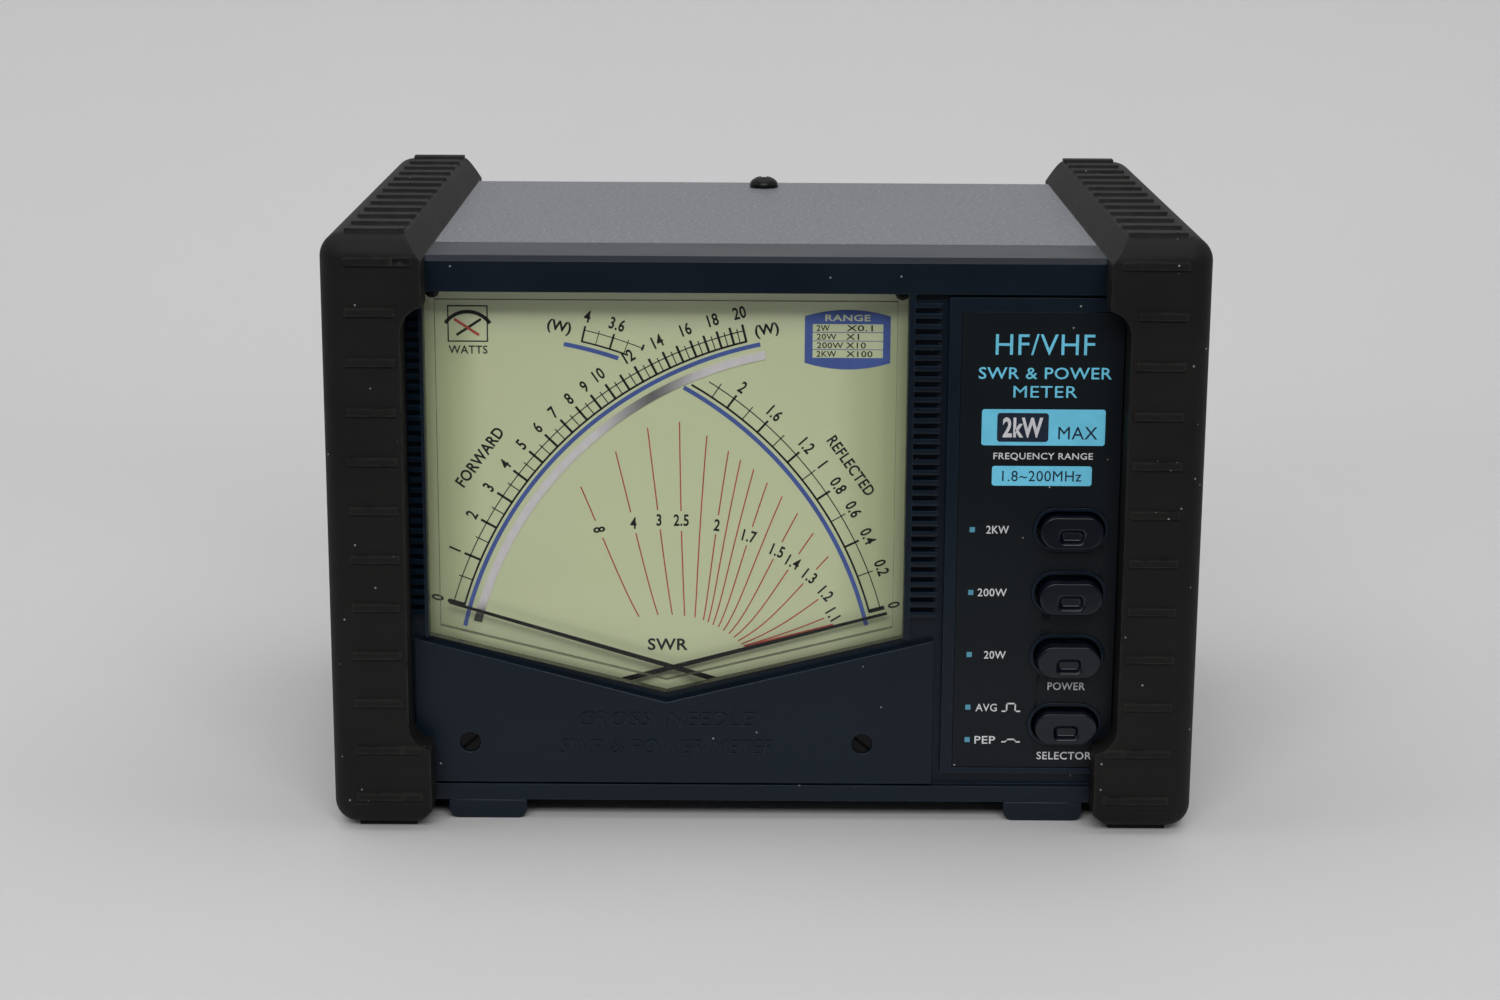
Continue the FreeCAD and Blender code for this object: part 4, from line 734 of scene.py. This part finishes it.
def coaxial_socket(node, name):
    low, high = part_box(node)
    mid = ((low.x + high.x) / 2 / MM, 0.0, (low.z + high.z) / 2 / MM)
    mouth = high.y / MM
    bm = bmesh.new()
    plate(bm, rounded_box(mid[0] - FLANGE_HALF, mid[2] - FLANGE_HALF, mid[0] + FLANGE_HALF,
                          mid[2] + FLANGE_HALF, FLANGE_CORNER, 6), FLANGE_BACK, FLANGE_FRONT)

    def rule(radius, height, angle):
        if radius > 7.3 and FLANGE_FRONT + 1.0 < height < mouth - 0.5:
            radius -= 0.55 * abs(((height / COAX_PITCH - angle / math.tau) % 1.0) * 2 - 1)
        if height > mouth - 0.01 and radius > 6.35:
            height -= 0.7 * max(0.0, math.cos(12 * angle)) ** 0.5
        return radius, height

    outside = [(7.9, FLANGE_FRONT - 0.2)] + slope((7.9, FLANGE_FRONT), (7.94, mouth - 0.6), 70)
    profile = [(6.3, 56.0)] + slope((6.3, 56.0), (6.3, mouth - 0.3), 6)
    profile += [(6.5, mouth), (6.9, mouth), (7.3, mouth)]
    profile += list(reversed(outside))
    turn(bm, profile, (mid[0], 0.0, mid[2]), (0, 1, 0), 96, rule)
    stand_in(node, name, bm)


for node in ("transmitter_socket", "antenna_socket"):
    coaxial_socket(node, "threaded_" + node)

# %% [markdown]
# ## The inner screws
#
# Every screw inside is the same short pan head. The list gives the seat of each one, and the
# direction that its head faces follows from where it sits.

# %% Model the inner screws
flange_seats = [(x + dx * SCREW_OFFSET, FLANGE_FRONT, 58.0 + dz * SCREW_OFFSET)
                for x in (-22.0, 22.0) for dx in (-1, 1) for dz in (-1, 1)]
screws_like("socket_screws", "flange_pan_screws", flange_seats, lambda seat: (0, 1, 0), PAN_HEAD)
frame_seats = [(x, -38.4, z) for x in (-71.5, 71.5) for z in (14.0, 99.0)]
frame_seats += [(-69.7, -38.4, 55.0), (32.1, -38.4, 86.0)]
foot_seats = [(-53.4, -51.0, 2.6), (54.55, -51.0, 2.6)]
board_seats = [(64.3, -8.0, 14.0), (64.3, 26.0, 14.0)]


def inner_axis(seat):
    if seat in foot_seats:
        return (0, 0, -1)
    return (-1, 0, 0) if seat in board_seats else (0, 1, 0)


screws_like("short_screws", "inner_pan_screws", frame_seats + foot_seats + board_seats, inner_axis,
            PAN_HEAD)
low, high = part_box("dial_screws")
dial_seats = [(x, low.y / MM + 1.2, high.z / MM - 1.4)
              for x in (low.x / MM + 1.4, high.x / MM - 1.4)]
screws_like("dial_screws", "dial_pan_screws", dial_seats, lambda seat: (0, -1, 0), DIAL_HEAD, 0.9)
# %% [markdown]
# ## Printing on flat faces
#
# Print is modelled as thin solid shapes that stand a few hundredths of a millimetre proud. A shape
# is an outline on the face, given as across and up positions in mm, which is raised into a closed
# slab. Letters come from Blender's own font: a word is made once at size one, measured, and scaled.

# %% Slabs, ribbons and words
INK = 0.035     # mm, the film's height


class Print:
    """Collects shapes on a face at one depth until they are settled as one piece."""

    def __init__(self, face, lift=0.0, thick=INK):
        self.bm = bmesh.new()
        self.back = face - lift + 0.01
        self.front = face - lift - thick

    def slab(self, outline):
        plate(self.bm, outline, self.back, self.front)

    def block(self, low_x, low_z, high_x, high_z):
        self.slab([(low_x, low_z), (high_x, low_z), (high_x, high_z), (low_x, high_z)])

    def ribbon(self, points, wide):
        """A line of constant width through the points."""
        left, right = [], []
        for k, (x, z) in enumerate(points):
            ax, az = points[max(k - 1, 0)]
            bx, bz = points[min(k + 1, len(points) - 1)]
            length = math.hypot(bx - ax, bz - az)
            nx, nz = -(bz - az) / length * wide / 2, (bx - ax) / length * wide / 2
            left.append((x + nx, z + nz))
            right.append((x - nx, z - nz))
        self.slab(left + list(reversed(right)))

    def word(self, text, x, z, tall, turn_by=0.0, wide=None, squeeze=0.8, bold=0.008, slant=0.0):
        """Letters whose middle is at x, z, tall mm high, turned by degrees. The font's M needs
        bold=0.0, because its outline crosses itself when it is made bolder."""
        draft = bpy.data.curves.new("draft", "FONT")
        draft.body = text
        draft.resolution_u = 3
        draft.space_character = 1.06
        draft.offset = bold
        draft.shear = slant
        draft.extrude = 0.5
        holder = bpy.data.objects.new("draft", draft)
        scene.collection.objects.link(holder)
        bpy.context.view_layer.update()
        mesh = bpy.data.meshes.new_from_object(holder.evaluated_get(
            bpy.context.evaluated_depsgraph_get()))
        across = [v.co.x for v in mesh.vertices]
        up = [v.co.y for v in mesh.vertices]
        size = tall / (max(up) - min(up))
        reach = wide / (max(across) - min(across)) if wide else size * squeeze
        middle = ((max(across) + min(across)) / 2, (max(up) + min(up)) / 2)
        c, s = math.cos(math.radians(turn_by)), math.sin(math.radians(turn_by))
        letters = bmesh.new()
        letters.from_mesh(mesh)
        bmesh.ops.remove_doubles(letters, verts=letters.verts, dist=0.0005)
        for vert in letters.verts:
            a = (vert.co.x - middle[0]) * reach
            b = (vert.co.y - middle[1]) * size
            y = self.front if vert.co.z > 0 else self.back
            vert.co = Vector((x + a * c - b * s, y, z + a * s + b * c)) * MM
        ready = bpy.data.meshes.new("draft")
        letters.to_mesh(ready)
        letters.free()
        self.bm.from_mesh(ready)
        for spare in (mesh, ready):
            bpy.data.meshes.remove(spare)
        bpy.data.objects.remove(holder)
        bpy.data.curves.remove(draft)

    def done(self, name, finish):
        return settle(name, self.bm, finish, "case")


def polar(pivot, radius, degrees):
    return (pivot[0] + radius * math.cos(math.radians(degrees)),
            pivot[1] + radius * math.sin(math.radians(degrees)))


def arc(pivot, radius, start, stop, step=1.0):
    count = max(2, int(abs(stop - start) / step))
    return [polar(pivot, radius, start + (stop - start) * k / count) for k in range(count + 1)]


# %% [markdown]
# ## The law of the scales
#
# The power sensor rectifies a little of the line voltage. Voltage goes as the square root of power,
# and the diodes need a small voltage to start, so each scale is a square root that has been bent
# near zero. Two numbers per needle describe it: full-scale power and the bend. A tick's angle is
# its share of the sweep from the rest angle.

# %% Scale positions
FORWARD = {"pivot": (14.4, 19.6), "zero": 163.8, "sweep": -60.0, "full": 20.0, "bend": 0.20}
REFLECTED = {"pivot": (-51.8, 19.6), "zero": 15.6, "sweep": 61.4, "full": 4.0, "bend": 0.35}


def needle_angle(scale, power):
    bend = scale["bend"]
    share = (math.sqrt(power / scale["full"] + bend * bend) - bend) / (math.hypot(1, bend) - bend)
    return scale["zero"] + scale["sweep"] * share


print("forward half power at", round(needle_angle(FORWARD, 10), 1), "degrees")

# %% [markdown]
# ## Arcs, ticks and numbers
#
# Each scale has a heavy inner arc, a fine outer one, ticks between them and, just inside, a blue arc
# that the eye lines up with the needle. The reflected scale is broken where the forward scale
# crosses it.

# %% Print the black and blue of the two scales
DIAL = dial_low.y / MM
black = Print(DIAL)
blue = Print(DIAL)


def tick(scale, power, inner, outer, wide):
    angle = needle_angle(scale, power)
    black.ribbon([polar(scale["pivot"], inner, angle), polar(scale["pivot"], outer, angle)], wide)


def numeral(scale, power, radius, text):
    angle = needle_angle(scale, power)
    x, z = polar(scale["pivot"], radius, angle)
    black.word(text, x, z, 2.4, angle - 90.0, squeeze=0.76, bold=0.022)


F, R = FORWARD["pivot"], REFLECTED["pivot"]
F_BLUE, F_INNER, F_OUTER = 74.4, 75.5, 77.65    # mm, radii of the arcs
R_BLUE, R_INNER, R_OUTER = 73.9, 75.1, 77.35
black.ribbon(arc(F, F_INNER, 164.1, 103.7), 0.38)
black.ribbon(arc(F, F_OUTER, 164.1, 103.7), 0.2)
blue.ribbon(arc(F, F_BLUE, 166.9, 101.9), 0.82)
for half_watts in range(0, 41):
    heavy = half_watts % 2 == 0
    tick(FORWARD, half_watts / 2, F_INNER, 78.9 if heavy else 78.3, 0.46 if heavy else 0.2)
tick(FORWARD, 0, F_INNER, 78.75, 0.85)
for watts in list(range(0, 11)) + [12, 14, 16, 18, 20]:
    numeral(FORWARD, watts, 80.9 if watts < 10 else 81.2, str(watts))

black.ribbon(arc(R, R_INNER, 15.4, 59.8), 0.38)
black.ribbon(arc(R, R_OUTER, 15.4, 57.9), 0.2)
black.ribbon(arc(R, R_INNER, 70.0, 77.1), 0.32)
black.ribbon(arc(R, R_OUTER, 68.2, 77.1), 0.16)
blue.ribbon(arc(R, R_BLUE, 13.6, 60.6), 0.82)
blue.ribbon(arc(R, R_BLUE, 71.2, 79.5), 0.82)
for k in range(0, 12):
    heavy = k % 2 == 0
    tick(REFLECTED, k * 0.2, R_INNER, 78.15 if heavy else 78.3, 0.42 if heavy else 0.2)
tick(REFLECTED, 0, R_INNER, 78.15, 0.8)
for k in (17, 18, 19, 20):
    heavy = k % 2 == 0
    tick(REFLECTED, k * 0.2, R_INNER, 78.15 if heavy else 77.95, 0.38 if heavy else 0.15)
tick(REFLECTED, 3.2, 76.9, 78.1, 0.38)
for watts in (0, 0.2, 0.4, 0.6, 0.8, 1, 1.2, 1.6, 2, 3.6, 4):
    numeral(REFLECTED, watts, 80.1, f"{watts:g}")
x, z = polar(F, 85.6, 143.8)
black.word("FORWARD", x, z, 2.35, 53.8, wide=13.6, bold=0.022)
x, z = polar(R, 84.3, 35.7)
black.word("REFLECTED", x, z, 2.25, -54.3, wide=13.6, bold=0.018)
black.word("(W)", -39.19, 95.48, 2.7, -12.0, wide=4.6, bold=0.03)
black.word("(W)", 0.3, 95.07, 2.7, 10.0, wide=4.6, bold=0.03)
black.word("SWR", -18.62, 32.91, 2.4, 0.0, wide=7.8, bold=0.02)

# %% [markdown]
# ## The standing wave lines
#
# For one standing wave ratio the reflected power is a fixed share of the forward power. So each red
# line can be worked out: for a row of forward powers, find both needle angles and the point where
# the needles cross. The printed lines start on a small circle round the crossing point at rest, stop
# short of the arcs, and leave a gap for their number. The movements swing a touch further than the
# printed scales, so the lines use their own sweep.

# %% Work out and print the red lines
FORWARD_SWING = dict(FORWARD, zero=162.76, sweep=-59.83, bend=0.24)
REFLECTED_SWING = dict(REFLECTED, zero=15.0, sweep=64.4, bend=0.43)
MOST_FORWARD, MOST_REFLECTED = 26, 5.4     # W, a little past full scale
FOOT, FOOT_ROUND, NUMBER_ROUND = (-18.7, 18.3), 20.6, 39.7


def crossing(forward_power, reflected_power):
    a = math.radians(needle_angle(FORWARD_SWING, forward_power))
    b = math.radians(needle_angle(REFLECTED_SWING, reflected_power))
    gap = (R[0] - F[0], R[1] - F[1])
    along = (gap[1] * math.cos(b) - gap[0] * math.sin(b)) / math.sin(a - b)
    return (F[0] + along * math.cos(a), F[1] + along * math.sin(a))


def inside(point):
    """True where a red line may be printed."""
    foot = math.dist(point, FOOT)
    swing = math.degrees(math.atan2(point[1] - R[1], point[0] - R[0]))
    return (foot > FOOT_ROUND and math.dist(point, F) < 67.6
            and math.dist(point, R) < 74.3 - 0.106 * swing)


red = Print(DIAL)
labels = {8: -80, 4: 0, 3: 0, 2.5: 0, 2: -8, 1.7: -14, 1.5: -22, 1.4: -28, 1.3: -36, 1.2: -47, 1.1: -58}
for ratio in (8, 4, 3, 2.5, 2.2, 2, 1.9, 1.8, 1.7, 1.6, 1.5, 1.4, 1.3, 1.2, 1.1):
    share = ((ratio - 1) / (ratio + 1)) ** 2
    powers = [MOST_FORWARD * (k / 260) ** 2 for k in range(261)]
    path = [crossing(power, share * power) for power in powers if share * power < MOST_REFLECTED]
    path = [point for point in path if inside(point)]
    middle = min(path, key=lambda point: abs(math.dist(point, FOOT) - NUMBER_ROUND))
    runs = [path]
    if ratio in labels:
        clear_of = [p for p in path if math.dist(p, middle) > 1.75]
        runs = [[p for p in clear_of if math.dist(p, FOOT) < NUMBER_ROUND],
                [p for p in clear_of if math.dist(p, FOOT) > NUMBER_ROUND]]
        black.word(f"{ratio:g}", middle[0], middle[1], 2.35, labels[ratio],
                   squeeze=0.76, bold=0.022)
    for run in runs:
        if len(run) > 1:
            red.ribbon(run, 0.24)
path = [crossing(MOST_FORWARD * (k / 120) ** 2, 0.0) for k in range(121)]
path = [point for point in path if inside(point)]
red.slab([(path[0][0], path[0][1] + 0.25), (path[-1][0], path[-1][1] + 0.14),
          (path[-1][0], path[-1][1] - 0.14), (path[0][0], path[0][1] - 0.75)])
print("unity line from", [round(v, 1) for v in path[0]], "to", [round(v, 1) for v in path[-1]])
red.done("dial_red_lines", red_ink)

# %% [markdown]
# ## The range table and the emblem
#
# A small blue table in the corner says how to multiply the reading on each range. Its long sides
# are straight and its top and bottom bow outwards. The emblem opposite is a plain square that holds
# two crossed needles and an arc.

# %% Print the table and the emblem
LEFT, RIGHT, LOW, HIGH = 7.5, 23.8, 88.9, 97.9
bow = [(LEFT + (RIGHT - LEFT) * k / 16, 1.0 - (k / 8 - 1) ** 2) for k in range(17)]
blue.slab([(x, HIGH + 1.25 * b) for x, b in bow] + [(x, LOW - 1.25 * b) for x, b in reversed(bow)])
blue.done("dial_blue_print", blue_ink)
pale = Print(DIAL, INK)
rows = ["2W      X0.1", "20W    X1", "200W  X10", "2KW    X100"]
table = Print(DIAL, 2 * INK)
for k, text in enumerate(rows):
    top = 96.4 - 1.66 * k
    pale.block(9.0, top - 1.52, 22.4, top)
    power, times = text.split()
    table.word(power, 9.6 + 0.68 * len(power), top - 0.76, 1.15, wide=1.25 * len(power),
               bold=0.01)
    table.word(times, 15.2 + 0.68 * len(times), top - 0.76, 1.15, wide=1.25 * len(times),
               bold=0.01)
pale.word("RANGE", (LEFT + RIGHT) / 2, 97.6, 1.25, wide=8.6, bold=0.02)
pale.done("dial_table_rows", pale_ink)
table.done("dial_table_figures", black_ink)

for side in ((-60.4, 92.6, -52.7, 92.85), (-60.4, 99.4, -52.7, 99.65),
             (-60.4, 92.6, -60.15, 99.65), (-52.95, 92.6, -52.7, 99.65)):
    black.block(*side)
black.ribbon([(-58.7, 93.9), (-54.0, 97.0)], 0.5)
black.ribbon(arc((-56.55, 93.2), 5.2, 145, 35, 5), 0.7)
black.word("WATTS", -56.55, 91.1, 1.6, wide=7.4, bold=0.012)
black.done("dial_black_print", black_ink)
emblem = Print(DIAL, INK)
emblem.ribbon([(-54.4, 93.9), (-59.1, 97.0)], 0.5)
emblem.done("dial_emblem_needle", red_ink)

# %% [markdown]
# ## Legends on the panel
#
# The inlay sheet is printed in light blue and grey. Headings are light blue, and the settings of
# each button are grey with a small light blue square. Two pulses drawn as square waves stand for
# the average and the peak reading.

# %% Print the panel
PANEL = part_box("panel_inlay")[0].y / MM
sky = Print(PANEL)
grey = Print(PANEL)
sky.word("HF/VHF", 52.4, 94.2, 4.0, wide=18.6, bold=0.0)
sky.word("SWR & POWER", 52.55, 88.75, 2.25, wide=25.0)
sky.word("METER", 52.65, 85.2, 2.2, wide=12.0, bold=0.0)


sky.slab(rounded_box(40.84, 74.87, 64.14, 81.83, 0.5))
sky.slab(rounded_box(43.0, 67.06, 61.9, 70.88, 0.5))
sky.done("panel_light_blue_print", sky_ink)
marks = Print(PANEL)
for z in (58.42, 46.04, 33.68, 23.08, 16.51):
    marks.block(39.05, z - 0.5, 40.05, z + 0.5)
marks.done("panel_setting_marks", mark_ink)

over = Print(PANEL, INK)
over.slab(rounded_box(43.76, 75.58, 53.45, 81.12, 0.6))
over.word("MAX", 59.0, 77.3, 2.4, wide=7.4, bold=0.0)
over.word("1.8~200MHz", 52.45, 68.95, 2.05, wide=15.0, bold=0.0)
over.done("panel_dark_print", dark_ink)
top_print = Print(PANEL, 2 * INK)
top_print.word("2kW", 48.6, 78.35, 3.9, wide=7.6, bold=0.03)
top_print.done("panel_badge_letters", grey_ink)

grey.word("FREQUENCY RANGE", 52.6, 72.7, 1.5, wide=18.8)
for text, x, z, wide in (("2KW", 44.37, 58.44, 4.3), ("200W", 43.66, 46.06, 5.6),
                         ("20W", 44.48, 33.63, 4.2), ("AVG", 43.07, 23.02, 4.1),
                         ("PEP", 42.97, 16.47, 4.0), ("POWER", 58.4, 27.41, 7.2),
                         ("SELECTOR", 58.38, 13.34, 10.6)):
    grey.word(text, x, z, 1.55, wide=wide)


def pulse(x, z, tall):
    half = 1.65
    points = [(x - half, z), (x - half * 0.5, z), (x - half * 0.5, z + tall), (x + half * 0.5, z + tall),
              (x + half * 0.5, z), (x + half, z)]
    for (ax, az), (bx, bz) in zip(points, points[1:]):
        dx, dz = (0.14 if ax != bx else 0.0), (0.14 if az != bz else 0.0)
        grey.ribbon([(min(ax, bx) - dx, min(az, bz) - dz), (max(ax, bx) + dx, max(az, bz) + dz)], 0.28)


pulse(47.86, 22.3, 1.55)
pulse(47.97, 16.1, 0.5)
grey.done("panel_grey_print", grey_ink)

# %% [markdown]
# ## Raised words on the lower fascia
#
# The fascia carries its description in slanted letters of its own colour, hardly raised, which show
# only by the light on their edges.

# %% Raise the fascia words
raised = Print(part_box("lower_fascia")[0].y / MM, thick=0.3)
raised.word("CROSS  NEEDLE", -18.7, 20.3, 2.9, wide=34.0, bold=0.0, slant=0.25)
raised.word("SWR & POWER METER", -18.7, 14.7, 2.9, wide=41.5, bold=0.0, slant=0.25)
raised.done("fascia_raised_words", navy)

# %% [markdown]
# ## Table and light
#
# The meter stands on a plain pale sweep: a floor that curves up into a wall well behind it, so there
# is no hard horizon. The paper shows only on its inner side, so the back of the meter can be looked
# at through it. Large area lights above and to both sides give soft shadows, as a light tent does.

# %% Build the sweep and the lights
FLOOR_FRONT, BEND_START, BEND_ROUND = -0.22, 0.26, 0.22     # metres
WALL_TOP, SWEEP_HALF = 1.6, 1.8


def sweep_surface():
    profile = [(FLOOR_FRONT, 0.0), (0.0, 0.0), (BEND_START, 0.0)]
    profile += [(BEND_START + BEND_ROUND * math.sin(math.radians(a)),
                 BEND_ROUND - BEND_ROUND * math.cos(math.radians(a))) for a in range(6, 91, 6)]
    profile += [(BEND_START + BEND_ROUND, WALL_TOP)]
    bm = bmesh.new()
    rows = [[bm.verts.new((x, y, z)) for x in (-SWEEP_HALF, SWEEP_HALF)] for y, z in profile]
    for a, b in zip(rows, rows[1:]):
        bm.faces.new((a[0], a[1], b[1], b[0]))
    mesh = bpy.data.meshes.new("studio_sweep")
    bm.to_mesh(mesh)
    bm.free()
    mesh.shade_smooth()
    sheet = bpy.data.objects.new("studio_sweep", mesh)
    scene.collection.objects.link(sheet)
    sheet.data.materials.append(skin("sweep_paper", ink(204, 203, 204), 0.7, drift=0.01,
                                     drift_size=0.3, grain=0.01, grain_size=0.002,
                                     inner_only=True))


def area_light(name, spot, aim, size, power):
    lamp = bpy.data.lights.new(name, "AREA")
    lamp.shape = "RECTANGLE"
    lamp.size, lamp.size_y = size
    lamp.energy = power
    holder = bpy.data.objects.new(name, lamp)
    holder.location = spot
    holder.rotation_euler = (Vector(aim) - Vector(spot)).to_track_quat("-Z", "Y").to_euler()
    scene.collection.objects.link(holder)


sweep_surface()
area_light("ceiling_light", (0.0, 0.15, 1.25), (0.0, 0.0, 0.0), (1.6, 1.0), 7.3)
area_light("front_light", (0.0, -1.25, 1.05), (0.0, 0.0, 0.05), (1.5, 0.6), 15.5)
area_light("left_light", (-1.2, -0.1, 0.8), (0.0, 0.0, 0.05), (0.7, 0.9), 2.5)
area_light("right_light", (1.2, -0.1, 0.8), (0.0, 0.0, 0.05), (0.7, 0.9), 2.0)
world = bpy.data.worlds.new("studio")
world.use_nodes = True
world.node_tree.nodes["Background"].inputs["Color"].default_value = (0.80, 0.81, 0.83, 1.0)
world.node_tree.nodes["Background"].inputs["Strength"].default_value = 0.14
scene.world = world
scene.view_settings.view_transform = "Standard"

# %% [markdown]
# ## The camera
#
# The camera looks at the front from a little above, from about six tenths of a metre. A long lens
# keeps the sides of the case nearly parallel.

# %% Place the camera
camera = bpy.data.objects.new("camera", bpy.data.cameras.new("camera"))
scene.collection.objects.link(camera)
camera.data.sensor_width = 36.0
camera.data.lens = 68.25
camera.data.clip_start = 0.01
camera.location = (-0.003232, -0.5822, 0.190634)
TURN, DOWN, ROLL = -0.053, 13.581, 0.332    # degrees
camera.rotation_euler = (Matrix.Rotation(math.radians(TURN), 4, "Z")
                         @ Matrix.Rotation(math.radians(90 - DOWN), 4, "X")
                         @ Matrix.Rotation(math.radians(ROLL), 4, "Z")).to_euler()
scene.camera = camera
